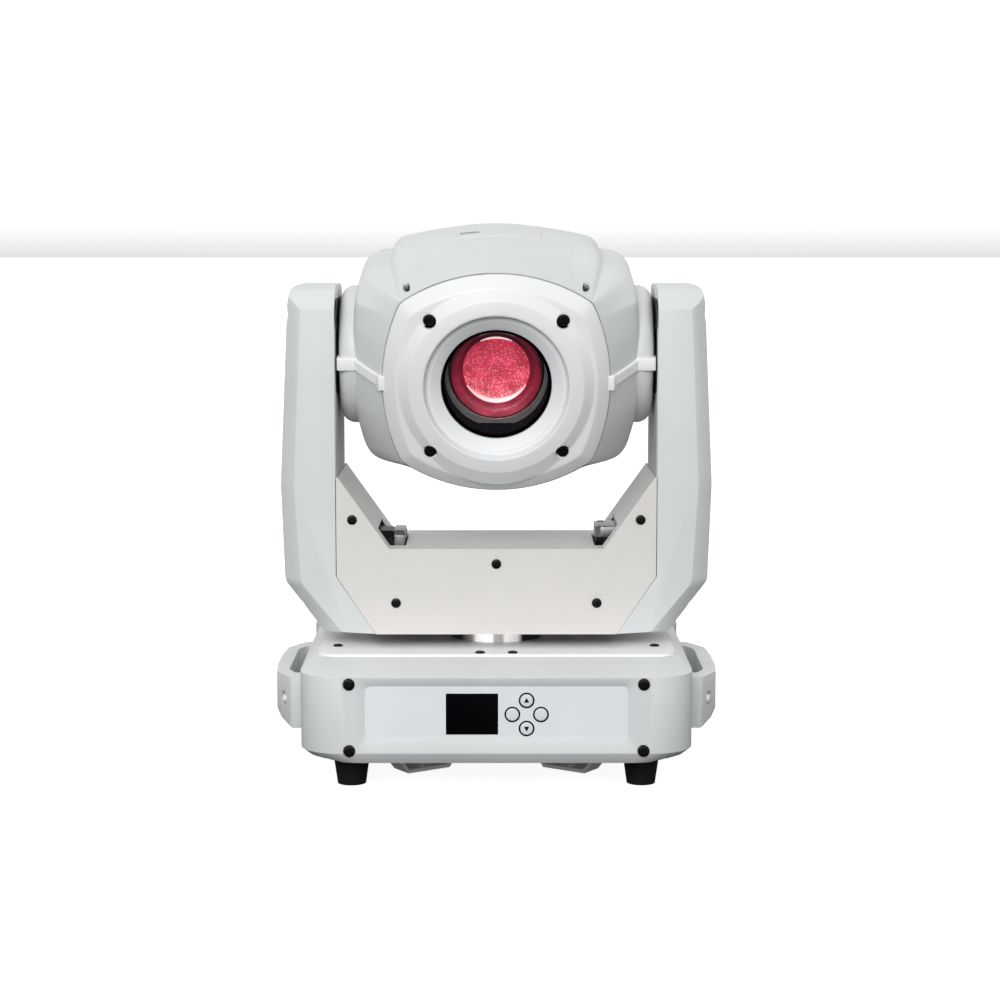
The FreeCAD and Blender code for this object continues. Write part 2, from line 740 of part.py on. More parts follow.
def make_safety_eye():
    """Half loop of steel rod under the base for the safety cable."""
    loop = doc.addObject("Part::Torus", "eye_loop")
    loop.Placement = FreeCAD.Placement(V(), FreeCAD.Rotation(V(1, 0, 0), 90))
    bind(loop, {"Radius1": "eye_radius", "Radius2": "eye_wire"})
    move(loop, (0, "eye_y", "base_low - 2"))
    below = slab("eye_below", "eye_radius + 5", "5", "0", "base_low - 2", (0, "eye_y"))
    legs = [rod(f"eye_leg_{side}", "eye_wire", "2", (f"{side} * eye_radius", "eye_y", "base_low - 2"))
            for side in SIDES.values()]
    half = common("eye_half", [loop, below])
    piece(fuse("eye_fused", [half] + legs), "safety_eye")


# ---------------------------------------------------------------- pan drive
def make_pan_shaft():
    flange = rod("shaft_flange", "hub_radius - 4", "4", (0, 0, "base_top - metal - 4"))
    tube = rod("shaft_tube", "shaft_radius", "pan_belt_low + belt_width + 6 - base_top + metal",
               (0, 0, "base_top - metal"))
    bore = rod("shaft_hole", "shaft_bore", "80", (0, 0, "base_top - 20"))
    shaft = cut("shaft_cut", fuse("shaft_solid", [flange, tube]), [bore])
    hub = ring("pan_hub_ring", "hub_radius", "shaft_radius", "2.2", (0, 0, "base_top"))
    nut = ring("pan_nut_ring", "shaft_radius + 4", "shaft_radius", "4",
               (0, 0, "pan_belt_low + belt_width + 1"))
    piece(group("pan_shaft_set", [shaft, hub, nut]), "pan_shaft")


def pulley(name, radius, bore, start, axis):
    """A belt wheel with a lip at each side of the belt."""
    at = "XYZ".index(axis)
    parts = [rod(f"{name}_rim", f"{radius} - gap", "belt_width", start, axis)]
    for index, shift in enumerate((-1, "belt_width")):
        place = list(start)
        place[at] = f"{start[at]} + {shift}"
        parts.append(rod(f"{name}_lip_{index}", f"{radius} + belt", "1", place, axis))
    solid = fuse(f"{name}_solid", parts)
    if bore is None:
        return solid
    place = list(start)
    place[at] = f"{start[at]} - 2"
    return cut(name, solid, [rod(f"{name}_bore", bore, "belt_width + 4", place, axis)])


def belt_loop(name, big, small, length):
    """A flat belt in the XY plane: round a wheel at the origin and a smaller one along +X."""
    loops = []
    for extra in (DIMENSIONS["belt"], 0):
        big_r, small_r = DIMENSIONS[big] + extra, DIMENSIONS[small] + extra
        lean = (big_r - small_r) / length
        rise = (1 - lean ** 2) ** 0.5
        corners = [V(big_r * lean, big_r * rise, 0),
                   V(length + small_r * lean, small_r * rise, 0),
                   V(length + small_r * lean, -small_r * rise, 0),
                   V(big_r * lean, -big_r * rise, 0)]
        ends = [V(length + small_r, 0, 0), V(-big_r, 0, 0)]
        edges = [Part.LineSegment(corners[0], corners[1]).toShape(),
                 Part.Arc(corners[1], ends[0], corners[2]).toShape(),
                 Part.LineSegment(corners[2], corners[3]).toShape(),
                 Part.Arc(corners[3], ends[1], corners[0]).toShape()]
        face = Part.Face(Part.Wire(edges))
        loops.append(face.extrude(V(0, 0, DIMENSIONS["belt_width"])))
    made = doc.addObject("Part::Feature", name)
    made.Shape = loops[0].cut(loops[1])
    return made


def make_pan_drive():
    low = "pan_belt_low"
    piece(pulley("pan_ring_pulley", "pan_ring", "shaft_radius", ["0", "0", low], "Z"), "pan_fixed_pulley")
    belt = belt_loop("pan_belt_loop", "pan_ring", "drive_wheel", DIMENSIONS["pan_motor_x"])
    move(belt, (0, 0, low))
    piece(belt, "pan_belt")
    x = "pan_motor_x"
    body_low = "pan_motor_top - motor_length"
    shaft_hole = rod("pan_motor_hole", "motor_shaft + gap", "motor_length", (x, 0, f"{body_low} - 1"))
    case = slab("pan_motor_case", "motor_size / 2", "motor_size / 2", body_low, "motor_length", (x, 0))
    piece(cut("pan_motor_cut", case, [shaft_hole]), "pan_motor")
    wheel = pulley("pan_drive_wheel", "drive_wheel", None, [x, "0", low], "Z")
    shaft = rod("pan_motor_shaft", "motor_shaft", "30", (x, 0, f"{low} - 2"))
    piece(fuse("pan_motor_pulley_fused", [wheel, shaft]), "pan_motor_pulley")
    table = slab("pan_table", "28", "30", f"{body_low} - floor", "floor", ("arm_inner - metal - 31", 0))
    hole = rod("pan_table_hole", "drive_wheel + 3", "20", (x, 0, f"{body_low} - 10"))
    legs = [slab(f"pan_leg_{end}", "20", "1.5", "yoke_low + 2 * floor", f"{body_low} - 3 * floor - yoke_low",
                 ("arm_inner - metal - 23", f"{end} * 28.5")) for end in ENDS.values()]
    piece(fuse("pan_bracket_fused", [cut("pan_table_cut", table, [hole])] + legs), "pan_motor_bracket")


# ---------------------------------------------------------------- yoke
def yoke_screw_places(y):
    """The five screws in the front or rear cover of the yoke."""
    places = [("0", y, "cover_screw_mid")]
    for side in SIDES.values():
        places.append((f"{side} * cover_screw_x", y, "cover_screw_high"))
        places.append((f"{side} * cover_screw_low_x", y, "cover_screw_low"))
    return places


def make_yoke_plates():
    """Welded U frame, front and rear covers, and the bent saddle between the arms."""
    floor_sheet = slab("floor_sheet", "arm_inner + metal / 2", "yoke_half - metal - 1",
                       "yoke_low + floor", "floor")
    floor_hole = rod("floor_hole", "shaft_radius + 4", "20", (0, 0, "yoke_low - 5"))
    frame = [cut("floor_cut", floor_sheet, [floor_hole])]
    for label, side in SIDES.items():
        inside = "arm_inner" if side > 0 else "-arm_inner - metal"
        round_half = "yoke_half - wall - gap"
        straight = box(f"arm_straight_{label}", ("metal", f"2 * ({round_half})", "tilt_z - yoke_low - floor"),
                       (inside, f"-({round_half})", "yoke_low + floor"))
        end = rod(f"arm_end_{label}", round_half, "metal", (inside, 0, "tilt_z"), "X")
        hole = rod(f"arm_hole_{label}", "axle_radius + 1.5", "20", (f"{inside} - 5", 0, "tilt_z"), "X")
        pass_through = rod(f"arm_motor_hole_{label}", "motor_shaft + 2", "20",
                           (f"{inside} - 5", 0, "tilt_motor_z"), "X")
        plate = fuse(f"arm_plate_solid_{label}", [straight, end])
        frame.append(cut(f"arm_plate_cut_{label}", plate, [hole, pass_through]))
    piece(fuse("yoke_frame_fused", frame), "yoke_frame")
    face = [("-seam_half", "yoke_low"), ("seam_half", "yoke_low"), ("arm_inner - 0.1", "seam_knee"),
            ("arm_inner - 0.1", "incline_top"), ("incline_half", "incline_top"),
            ("saddle_half", "saddle_top"), ("-saddle_half", "saddle_top"),
            ("-incline_half", "incline_top"), ("-arm_inner + 0.1", "incline_top"),
            ("-arm_inner + 0.1", "seam_knee")]
    covers = []
    for label, way in ENDS.items():
        cover = new_body(f"yoke_face_{label}")
        offset = "yoke_half - metal" if way < 0 else "-yoke_half"
        pad(cover, f"yoke_face_pad_{label}", "XZ_Plane", offset, face, "metal")
        holes = [(x, "-yoke_half - 5" if way < 0 else "yoke_half - 5", z) for x, _, z in yoke_screw_places(0)]
        covers.append(drilled(f"yoke_face_drilled_{label}", cover, holes, "screw_shank + fit", "10", "Y"))
    piece(group("yoke_cover_pair", covers), "yoke_covers")
    saddle = new_body("saddle")
    section = [("-incline_half", "incline_top"), ("-saddle_half", "saddle_top"),
               ("saddle_half", "saddle_top"), ("incline_half", "incline_top"),
               ("arm_inner - 0.1", "incline_top - 1"),
               ("saddle_half + 1", "saddle_top - metal"), ("-saddle_half - 1", "saddle_top - metal"),
               ("-arm_inner + 0.1", "incline_top - 1")]
    pad(saddle, "saddle_sheet", "XZ_Plane", "-yoke_half + metal + fit", section,
        "2 * (yoke_half - metal - fit)")
    windows = [slab("saddle_window_left", "12", "window_half", "saddle_top - 5", "19", (-86.5, 0)),
               slab("saddle_window_right", "9.5", "window_half", "saddle_top - 5", "23", (90.5, 0))]
    piece(cut("saddle_cut", saddle, windows), "yoke_saddle")
    front = screws("yoke_front_screws", yoke_screw_places("-yoke_half"), "Y", -1)
    rear = screws("yoke_rear_screws", yoke_screw_places("yoke_half"), "Y", 1)
    return [front, rear]


def arm_outline(side, inset):
    """An arm seen from the front; inset moves every outer edge inwards."""
    return [(f"{side} * {x}", z) for x, z in (
        (f"(arm_inner - {inset} * 4)", f"tilt_z + yoke_half - {inset}"),
        (f"(arm_top_half - 12 - {inset})", f"tilt_z + yoke_half - {inset}"),
        (f"(arm_top_half - 3 - {inset})", f"tilt_z + yoke_half - 4 - {inset}"),
        (f"(arm_top_half - {inset})", "arm_shoulder"),
        (f"(arm_mid_half - {inset})", "arm_mid"),
        (f"(knee_half - {inset})", "knee"),
        (f"(arm_low_half - {inset} * 0.5)", f"yoke_low + {inset}"),
        (f"(seam_half - {inset} * 5)", f"yoke_low + {inset}"),
        (f"(arm_inner - {inset} * 4)", "seam_knee"))]


def arm_side_outline(inset):
    """An arm seen from the side: upright front and rear faces, then a bevel up to the top."""
    half, top = f"yoke_half - {inset}", f"tilt_z + yoke_half - {inset}"
    right = [(half, "0"), (half, "arm_crease"), (f"0.7 * ({half})", f"{top} - 4"), (f"0.45 * ({half})", top)]
    return right + [(f"-({y})", z) for y, z in reversed(right)]


ARM_SCREWS = (("arm_top_half - 1", "arm_screw_high"), ("arm_low_half + 12", "arm_screw_low"))


def arm_screw_rods(name, side, radius, length, out):
    """Rods along X at the four screw places of one arm; out is how far past the place they end."""
    made = []
    for index, (x, z) in enumerate(ARM_SCREWS):
        for end in ENDS.values():
            middle = f"{side} * ({x} + {out} - ({length}) / 2)"
            made.append(rod(f"{name}_{index}_{end}", radius, length,
                            (f"{middle} - ({length}) / 2", f"{end} * arm_screw_y", z), "X"))
    return made


def make_arm_covers(face_screws):
    """Moulded cover over each arm, open towards the head."""
    screw_heads = []
    for label, side in SIDES.items():
        blocks = []
        for word, inset in (("outside", "0"), ("inside", "wall")):
            face = new_body(f"arm_{word}_{label}")
            pad(face, f"arm_{word}_pad_{label}", "XZ_Plane", f"-(yoke_half - {inset})",
                arm_outline(side, inset), f"2 * (yoke_half - {inset})")
            profile = new_body(f"arm_{word}_side_{label}")
            pad(profile, f"arm_{word}_profile_{label}", "YZ_Plane", "-2 * arm_mid_half",
                arm_side_outline(inset), "4 * arm_mid_half")
            blocks.append(common(f"arm_{word}_block_{label}", [face, profile]))
        recesses = arm_screw_rods(f"arm_recess_{label}", side, "screw_head + fit", "2 * screw_length",
                                  "screw_length")
        piece(cut(f"arm_cover_cut_{label}", blocks[0], [blocks[1]] + recesses), f"arm_cover_{label}")
        screw_heads += arm_screw_rods(f"arm_screw_{label}", side, "screw_head", "screw_length", "0")
    piece(group("yoke_screw_sets", face_screws + screw_heads), "yoke_screws")


def make_tilt_drive():
    """Stepper motor inside the left arm's foot, its wheel, and the belt up to the tilt ring."""
    body = box("tilt_motor_case", ("motor_length", "motor_size", "motor_size"),
               ("-arm_inner", "-motor_size / 2", "tilt_motor_z - motor_size / 2"))
    hole = rod("tilt_motor_hole", "motor_shaft + gap", "motor_length",
               ("-arm_inner - 1", 0, "tilt_motor_z"), "X")
    piece(cut("tilt_motor_cut", body, [hole]), "tilt_motor")
    outer = "-tilt_belt_x - belt_width"
    wheel = pulley("tilt_drive_wheel", "drive_wheel", None, [outer, "0", "tilt_motor_z"], "X")
    shaft = rod("tilt_motor_shaft", "motor_shaft", "40", (outer, 0, "tilt_motor_z"), "X")
    piece(fuse("tilt_motor_pulley_fused", [wheel, shaft]), "tilt_motor_pulley")
    reach = DIMENSIONS["tilt_z"] - DIMENSIONS["tilt_motor_z"]
    belt = belt_loop("tilt_belt_loop", "tilt_ring", "drive_wheel", reach)
    belt.Placement = FreeCAD.Placement(V(), FreeCAD.Rotation(V(0, 1, 0), 90))
    move(belt, (outer, 0, "tilt_z"))
    piece(belt, "tilt_belt")
    rings = [ring("pan_bearing", "shaft_radius + 10", "shaft_radius + fit", "6.5",
                  (0, 0, "yoke_low + 2 * floor"))]
    for label, side in SIDES.items():
        inside = "arm_inner + metal" if side > 0 else "-arm_inner - metal - bearing_width"
        rings.append(ring(f"tilt_bearing_{label}", "bearing_radius", "axle_radius + fit", "bearing_width",
                          (inside, 0, "tilt_z"), "X"))
    piece(group("bearing_set", rings), "pivot_bearings")
    piece(slab("driver_sheet", "50", "board / 2", "yoke_low + 14", "50", (-10, 46)), "driver_board")


# ---------------------------------------------------------------- head, level, front towards -Y
HEAD_STATIONS = (            # distance forward, half width, rise above the axis, drop below it
    (95, 91, 87, 87),
    (74, 109, 93, 92),
    (40, 118, 98, 95),
    (-40, 118, 103, 95),
    (-85, 112, 95, 90),
    (-126, 88, 78, 72),
)
HEAD_SECTION = ((0, 1), (0.62, 0.94), (0.85, 0.80), (0.96, 0.55), (1, 0.09),
                (1, -0.09), (0.97, -0.55), (0.82, -0.88), (0.5, -0.97), (0, -1))


def head_section(station, scale):
    """One cross-section of the head shells, as corners all the way round."""
    _, half, rise, drop = station
    right = [(across * half, up * (rise if up > 0 else drop)) for across, up in HEAD_SECTION]
    left = [(-x, z) for x, z in reversed(right[1:-1])]
    return [(f"{x:.2f} * {scale}", f"{z:.2f} * {scale}") for x, z in right + left]


def make_head_shells():
    """Upper and lower moulded shells with a round cheek at each end of the tilt axis."""
    lofts = []
    for word, scale, radius, half in (("outside", "1", "cheek_radius", "cheek_half"),
                                      ("inside", "shell_inside", "cheek_radius - wall", "cheek_half - wall")):
        body = new_body(f"head_{word}")
        loft(body, f"head_{word}_loft", [(str(station[0]), head_section(station, scale))
                                         for station in HEAD_STATIONS])
        cheeks = rod(f"head_{word}_cheeks", radius, f"2 * ({half})", (f"-({half})", 0, 0), "X")
        lofts.append(fuse(f"head_{word}_fused", [body, cheeks]))
    hub_hole = rod("head_hub_hole", "axle_hub + 0.5", "2 * cheek_half + 2", ("-cheek_half - 1", 0, 0), "X")
    tube = cut("head_tube", lofts[0], [lofts[1], hub_hole])
    for label, low in (("top", "0"), ("bottom", "-150")):
        half = slab(f"head_{label}_space", "200", "200", low, "150")
        head_piece(common(f"head_{label}_half", [tube, half]), f"head_{label}_shell")


def make_side_trims():
    """A narrow strip over the shell joint on each side, from the cheek to the front bezel."""
    strips = []
    end = "axle_hub + 1.5"
    for label, side in SIDES.items():
        strip = new_body(f"trim_{label}")
        path = [("cheek_half", f"-({end})"), ("cheek_half", "-cheek_radius"), (113.9, "-cheek_radius"),
                (109.3, -74), ("bezel_half_width + 1.2", "-head_front + 1"),
                ("bezel_half_width + 3.5", "-head_front"), (112.5, -75),
                (116.6, "-cheek_radius - 2"), ("cheek_half + 1.6", "-cheek_radius - 2"),
                ("cheek_half + 1.6", f"-({end})")]
        pad(strip, f"trim_pad_{label}", "XY_Plane", "-4.5", [(f"{side} * ({x})", y) for x, y in path], "9")
        strips.append(strip)
    head_piece(group("trim_pair", strips), "side_trims")


def forward_cone(name, back_radius, front_radius, back, front):
    """A cone on the optical axis between two distances forward of the tilt axis."""
    made = cone(name, back_radius, front_radius, f"{front} - ({back})", ("0", "0", "0"))
    made.Placement = FreeCAD.Placement(V(), FreeCAD.Rotation(V(1, 0, 0), 90))
    return move(made, (0, f"-({back})", 0))


def make_bezel():
    """Four-arc plate with a raised ring and a conical mouth round the lens."""
    cylinders = []
    centres = (("0", "bezel_half_height - bezel_arc"), ("0", "bezel_arc - bezel_half_height"),
               ("bezel_half_width - bezel_arc", "0"), ("bezel_arc - bezel_half_width", "0"))
    for index, (x, z) in enumerate(centres):
        cylinders.append(rod(f"bezel_arc_{index}", "bezel_arc", "bezel_sheet",
                             (x, "-head_front - bezel_sheet", z), "Y"))
    plate = common("bezel_plate", cylinders)
    flank_end = "head_front + bezel_sheet + bezel_flank_rise"
    flank = forward_cone("bezel_flank_cone", "bezel_flank", "bezel_ring", "head_front + bezel_sheet",
                         flank_end)
    crown = forward_cone("bezel_crown_cone", "bezel_ring", "bezel_crown", flank_end, "bezel_front")
    mouth = forward_cone("bezel_mouth_cone", "bezel_throat", "bezel_rim", "bezel_back", "bezel_front")
    throat = rod("bezel_throat_hole", "bezel_throat + 3.2", "bezel_back - head_front + 20",
                 (0, "-bezel_back + 2", 0), "Y")
    lip = rod("bezel_lip_hole", "bezel_throat", "10", (0, "-bezel_back - 0.5", 0), "Y")
    corners = [(f"{x} * bezel_screw", f"{z} * bezel_screw") for x in (-1, 1) for z in (-1, 1)]
    recesses = [rod(f"bezel_recess_{index}", "bezel_recess", "30", (x, "-head_front - 9 - 30", z), "Y")
                for index, (x, z) in enumerate(corners)]
    shank_holes = [rod(f"bezel_shank_{index}", "screw_shank + fit", "40", (x, "-head_front - 20", z), "Y")
                   for index, (x, z) in enumerate(corners)]
    solid = fuse("bezel_solid", [plate, flank, crown])
    head_piece(cut("bezel_cut", solid, [mouth, throat, lip] + recesses + shank_holes), "head_front_bezel")
    places = [(x, "-head_front - 9", z) for x, z in corners]
    head_piece(screws("bezel_screw_set", places, "Y", -1, "shell_screw_head"), "bezel_screws")


def make_rear_cover():
    """Plate that closes the back of the head, with slots for the fan."""
    cover = new_body("rear_cover")
    section = [(f"{x} * 0.99", f"{z} * 0.99") for x, z in head_section(HEAD_STATIONS[-1], "shell_inside")]
    pad(cover, "rear_cover_pad", "XZ_Plane", "-head_back + 0.5", section, "wall")
    slots = [slab(f"rear_slot_{index}", "36", "6", f"{index} * 9 - 2", "4", ("0", "head_back - 2"))
             for index in range(-4, 5)]
    head_piece(cut("rear_cover_cut", cover, slots), "head_rear_cover")


def make_chassis():
    """Side plates joined by three cross plates that carry everything in the head."""
    side_plates = [slab(f"chassis_side_{side}", "wall / 2", "(sink_plate + front_plate) / 2",
                        "-chassis_rise", "2 * chassis_rise",
                        (f"{side} * (chassis_half - wall / 2)", "(sink_plate - front_plate) / 2"))
                   for side in SIDES.values()]
    cross = [slab(f"chassis_cross_{index}", "chassis_half - wall", "wall / 2", "-chassis_rise",
                  "2 * chassis_rise", ("0", f"{y} + wall / 2"))
             for index, y in enumerate(("-front_plate", "effects_plate", "beam_plate"))]
    solid = fuse("chassis_solid", side_plates + cross)
    front_hole = rod("chassis_front_hole", "lens_radius - 4", "20", (0, "-front_plate - 5", 0), "Y")
    beam_hole = rod("chassis_beam_hole", "beam_hole", "sink_plate", (0, 0, 0), "Y")
    rod_holes = [rod(f"chassis_rod_hole_{side}", "rod_radius", "100",
                     (f"{side} * rod_x", "-front_plate - 5", 0), "Y") for side in SIDES.values()]
    motor_holes = [rod(f"chassis_motor_hole_{side}", "motor_shaft + gap", "40",
                       (0, "effects_plate - 5", f"{side} * wheel_offset"), "Y") for side in SIDES.values()]
    pivot_hole = rod("chassis_pivot_hole", "motor_shaft + fit", "10",
                     ("prism_x", "effects_plate - 3", 0), "Y")
    head_piece(cut("chassis_cut", solid, [front_hole, beam_hole, pivot_hole] + rod_holes + motor_holes),
               "head_chassis")


def make_tilt_axles():
    """Hollow axle on each side of the chassis, with the dark hub that shows beside the arm."""
    axles = []
    for label, side in SIDES.items():
        lengths = {"flange": ("axle_hub", "chassis_half", 8), "hub": ("axle_hub", "arm_inner - gap - 10", 10),
                   "tube": ("axle_radius", "chassis_half", 64), "bore": ("axle_bore", "chassis_half - 5", 80)}
        made = {}
        for word, (radius, start, length) in lengths.items():
            low = start if side > 0 else f"-({start}) - {length}"
            made[word] = rod(f"axle_{label}_{word}", radius, length, (low, 0, 0), "X")
        solid = fuse(f"axle_{label}_solid", [made["flange"], made["hub"], made["tube"]])
        axles.append(cut(f"axle_{label}_cut", solid, [made["bore"]]))
    head_piece(group("axle_pair", axles), "tilt_axles")
    start = ["-tilt_belt_x - belt_width", "0", "0"]
    head_piece(pulley("tilt_ring_pulley", "tilt_ring", "axle_radius", start, "X"), "tilt_pulley")


def make_optics():
    """Lens tube, domed front lens, guide rods, and the focus lens on its carriage."""
    barrel = ring("barrel_tube", "lens_radius + 3.2", "lens_radius + fit", "bezel_back - front_plate - 2",
                  (0, "-bezel_back + 2", 0), "Y")
    head_piece(barrel, "lens_barrel")
    ball = doc.addObject("Part::Sphere", "front_lens_ball")
    bind(ball, {"Radius": "2 * lens_radius"})
    move(ball, (0, "-bezel_back + 4 + 2 * lens_radius", 0))
    disc = rod("front_lens_disc", "lens_radius", "20", (0, "-bezel_back + 4", 0), "Y")
    head_piece(common("front_lens_cut", [ball, disc]), "front_lens")
    rods = [rod(f"guide_rod_{side}", "rod_radius", "front_plate + effects_plate + wall",
                (f"{side} * rod_x", "-front_plate", 0), "Y") for side in SIDES.values()]
    head_piece(group("guide_rods_pair", rods), "guide_rods")
    plate = slab("focus_plate", "rod_x + 8", "focus_width / 2", "-30", "60", ("0", "-focus_y"))
    ends = [slab(f"focus_end_{side}_{up}", "16", "focus_width", f"{up} * 24 - 12", "24",
                 (f"{side} * (rod_x + 2)", "-focus_y")) for side in SIDES.values() for up in (-1, 1)]
    bushes = [rod(f"focus_bush_{side}", "rod_radius + 3", "focus_width + 6",
                  (f"{side} * rod_x", "-focus_y - focus_width / 2 - 3", 0), "Y") for side in SIDES.values()]
    bores = [rod(f"focus_bore_{side}", "rod_radius + fit", "40",
                 (f"{side} * rod_x", "-focus_y - 20", 0), "Y") for side in SIDES.values()]
    seat = rod("focus_seat", "focus_seat", "40", (0, "-focus_y - 20", 0), "Y")
    trimmed = cut("focus_trimmed", plate, ends)
    carriage = cut("focus_cut", fuse("focus_solid", [trimmed] + bushes), bores + [seat])
    glass = doc.addObject("Part::Sphere", "focus_ball")
    bind(glass, {"Radius": "60"})
    move(glass, (0, "-focus_y - focus_width / 2 + 60", 0))
    disc = rod("focus_disc", "focus_seat", "focus_width + 2", (0, "-focus_y - focus_width / 2", 0), "Y")
    head_piece(group("focus_set", [carriage, common("focus_glass", [glass, disc])]), "focus_lens")


def effect_wheel(name, up, y, holes, motor_front):
    """A disc with a ring of beam apertures on its own motor shaft."""
    middle = f"{up} * wheel_offset"
    disc = rod(f"{name}_disc", "wheel_radius", "wheel_sheet", (0, y, middle), "Y")
    apertures = []
    for index in range(holes):
        turn = FreeCAD.Rotation(V(0, 1, 0), 360 / holes * index)
        reach = turn.multVec(V(0, 0, -up * DIMENSIONS["wheel_offset"]))
        apertures.append(rod(f"{name}_aperture_{index}", "wheel_hole", "10",
                             (f"{reach.x:.3f}", f"{y} - 5", f"{middle} + {reach.z:.3f}"), "Y"))
    shaft = rod(f"{name}_shaft", "motor_shaft", f"{y} - ({motor_front})", (0, motor_front, middle), "Y")
    boss = rod(f"{name}_boss", "7", "2.5", (0, f"{y} - 2.5", middle), "Y")
    head_piece(cut(f"{name}_cut", fuse(f"{name}_solid", [disc, boss, shaft]), apertures), name)


def make_effects():
    """Colour wheel and gobo wheel on their motors, and a prism that swings into the beam."""
    motor_y = "effects_plate + wall"
    motors = []
    for label, up in (("colour", -1), ("gobo", 1)):
        case = rod(f"{label}_motor_case", "wheel_motor", "wheel_motor_length",
                   (0, motor_y, f"{up} * wheel_offset"), "Y")
        hole = rod(f"{label}_motor_hole", "motor_shaft + gap", "wheel_motor_length + 2",
                   (0, f"{motor_y} - 1", f"{up} * wheel_offset"), "Y")
        motors.append(cut(f"{label}_motor_cut", case, [hole]))
    head_piece(group("wheel_motor_pair", motors), "wheel_motors")
    effect_wheel("gobo_wheel", 1, "30", 7, "effects_plate + wall + 2")
    effect_wheel("colour_wheel", -1, "36", 8, "effects_plate + wall + 2")
    arm_y = "effects_plate - 6"
    holder = rod("prism_holder_ring", "prism_ring", "prism_arm", (0, arm_y, 0), "Y")
    hub = rod("prism_arm_hub", "7", "prism_arm", ("prism_x", arm_y, 0), "Y")
    arm = box("prism_arm_bar", ("prism_x - prism_seat", "prism_arm", "10"), ("prism_seat", arm_y, "-5"))
    pivot = rod("prism_pivot", "motor_shaft", "12", ("prism_x", arm_y, 0), "Y")
    seat = rod("prism_seat_hole", "prism_seat", "10", (0, f"{arm_y} - 3", 0), "Y")
    head_piece(cut("prism_arm_cut", fuse("prism_arm_solid", [holder, hub, arm, pivot]), [seat]), "prism_arm")
    facets = doc.addObject("Part::Prism", "prism_facets")
    bind(facets, {"Circumradius": "prism_facet", "Height": "2"})
    facets.Polygon = 3
    facets.Placement = FreeCAD.Placement(V(), TURNS["Y"])
    move(facets, (0, f"{arm_y} - 1", 0))
    rim = rod("prism_rim", "prism_seat - fit", "prism_arm", (0, arm_y, 0), "Y")
    head_piece(fuse("prism_fused", [facets, rim]), "prism")


def make_light_engine():
    """LED board on a finned heat sink, and the fan behind it."""
    board = slab("led_sheet", "led_half", "board / 2", "-led_half", "2 * led_half",
                 ("0", "sink_plate - 8 - board / 2"))
    dome = rod("led_dome_rod", "led_dome", "4", (0, "sink_plate - 8 - board - 4", 0), "Y")
    led = fuse("led_fused", [board, dome])
    base = slab("sink_base", "chassis_half - wall - fit", "4", "-chassis_rise", "2 * chassis_rise",
                ("0", "sink_plate - 4"))
    fins = [slab(f"sink_fin_{index}", "0.8", "fin_half", "-chassis_rise", "2 * chassis_rise",
                 (f"{index} * 7", "sink_plate + fin_half - fit")) for index in range(-9, 10)]
    head_piece(group("light_engine_set", [led, fuse("sink_fused", [base] + fins)]), "light_engine")
    frame_box = slab("fan_box", "fan_half", "fan_depth / 2", "-fan_half", "2 * fan_half",
                     ("0", "fan_front + fan_depth / 2"))
    throat = rod("fan_throat", "fan_half - 2.5", "fan_depth + 2", (0, "fan_front - 1", 0), "Y")
    hub_plate = rod("fan_motor_plate", "18", "2.5", (0, "fan_front", 0), "Y")
    spokes = [slab("fan_spoke_flat", "fan_half - 1", "1.2", "-2", "4", ("0", "fan_front + 1.2")),
              slab("fan_spoke_upright", "2", "1.2", "-fan_half + 1", "2 * fan_half - 2",
                   ("0", "fan_front + 1.2"))]
    opened = cut("fan_frame_cut", frame_box, [throat])
    head_piece(fuse("fan_frame_fused", [opened, hub_plate] + spokes), "fan_frame")
    hub = rod("fan_hub", "17", "18", (0, "fan_front + 4", 0), "Y")
    blades = []
    for index in range(7):
        blade = doc.addObject("Part::Box", f"fan_blade_{index}")
        bind(blade, {"Length": "26", "Width": "1.4", "Height": "17"})
        pitch = FreeCAD.Rotation(V(1, 0, 0), 50)
        turn = FreeCAD.Rotation(V(0, 1, 0), 360 / 7 * index)
        middle = V(15.5, DIMENSIONS["fan_front"] + 13, 0)
        start = V(middle.x, middle.y, 0) + pitch.multVec(V(0, -0.7, -8.5))
        blade.Placement = FreeCAD.Placement(V(), turn).multiply(FreeCAD.Placement(start, pitch))
        blades.append(blade)
    head_piece(fuse("fan_rotor_fused", [hub] + blades), "fan_rotor")


# ---------------------------------------------------------------- build, check and write
def build():
    for make in (make_base_shell, make_base_plates, make_feet, make_side_handles, make_rear_panel,
                 make_omega_brackets, make_safety_eye, make_pan_shaft, make_pan_drive):
        make()
    make_base_electronics(make_control_panel())
    make_arm_covers(make_yoke_plates())
    for make in (make_tilt_drive, make_head_shells, make_side_trims, make_bezel, make_rear_cover,
                 make_chassis, make_tilt_axles, make_optics, make_effects, make_light_engine):
        make()
    doc.recompute()


def check():
    failed = [obj.Name for obj in doc.Objects if {"Invalid", "Error"} & set(obj.State)]
    failed += [obj.Label for obj in PIECES if obj.Shape.isNull() or not obj.Shape.isValid()]
    if failed:
        raise SystemExit(f"failed objects: {failed}")


def export():
    os.makedirs("parts", exist_ok=True)
    for obj in PIECES:
        obj.Shape.exportStep(f"parts/{obj.Label}.step")
        box_ = obj.Shape.BoundBox
        print(f"{obj.Label}: {len(obj.Shape.Solids)} solids, {obj.Shape.Volume:.0f} mm3, "
              f"z {box_.ZMin:.1f} to {box_.ZMax:.1f}")


build()
check()
export()
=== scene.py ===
"""Looks of a moving head stage light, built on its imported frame.

Lengths are in millimetres in the row frame until a mesh is made, and metres after that.
"""

import json
import math

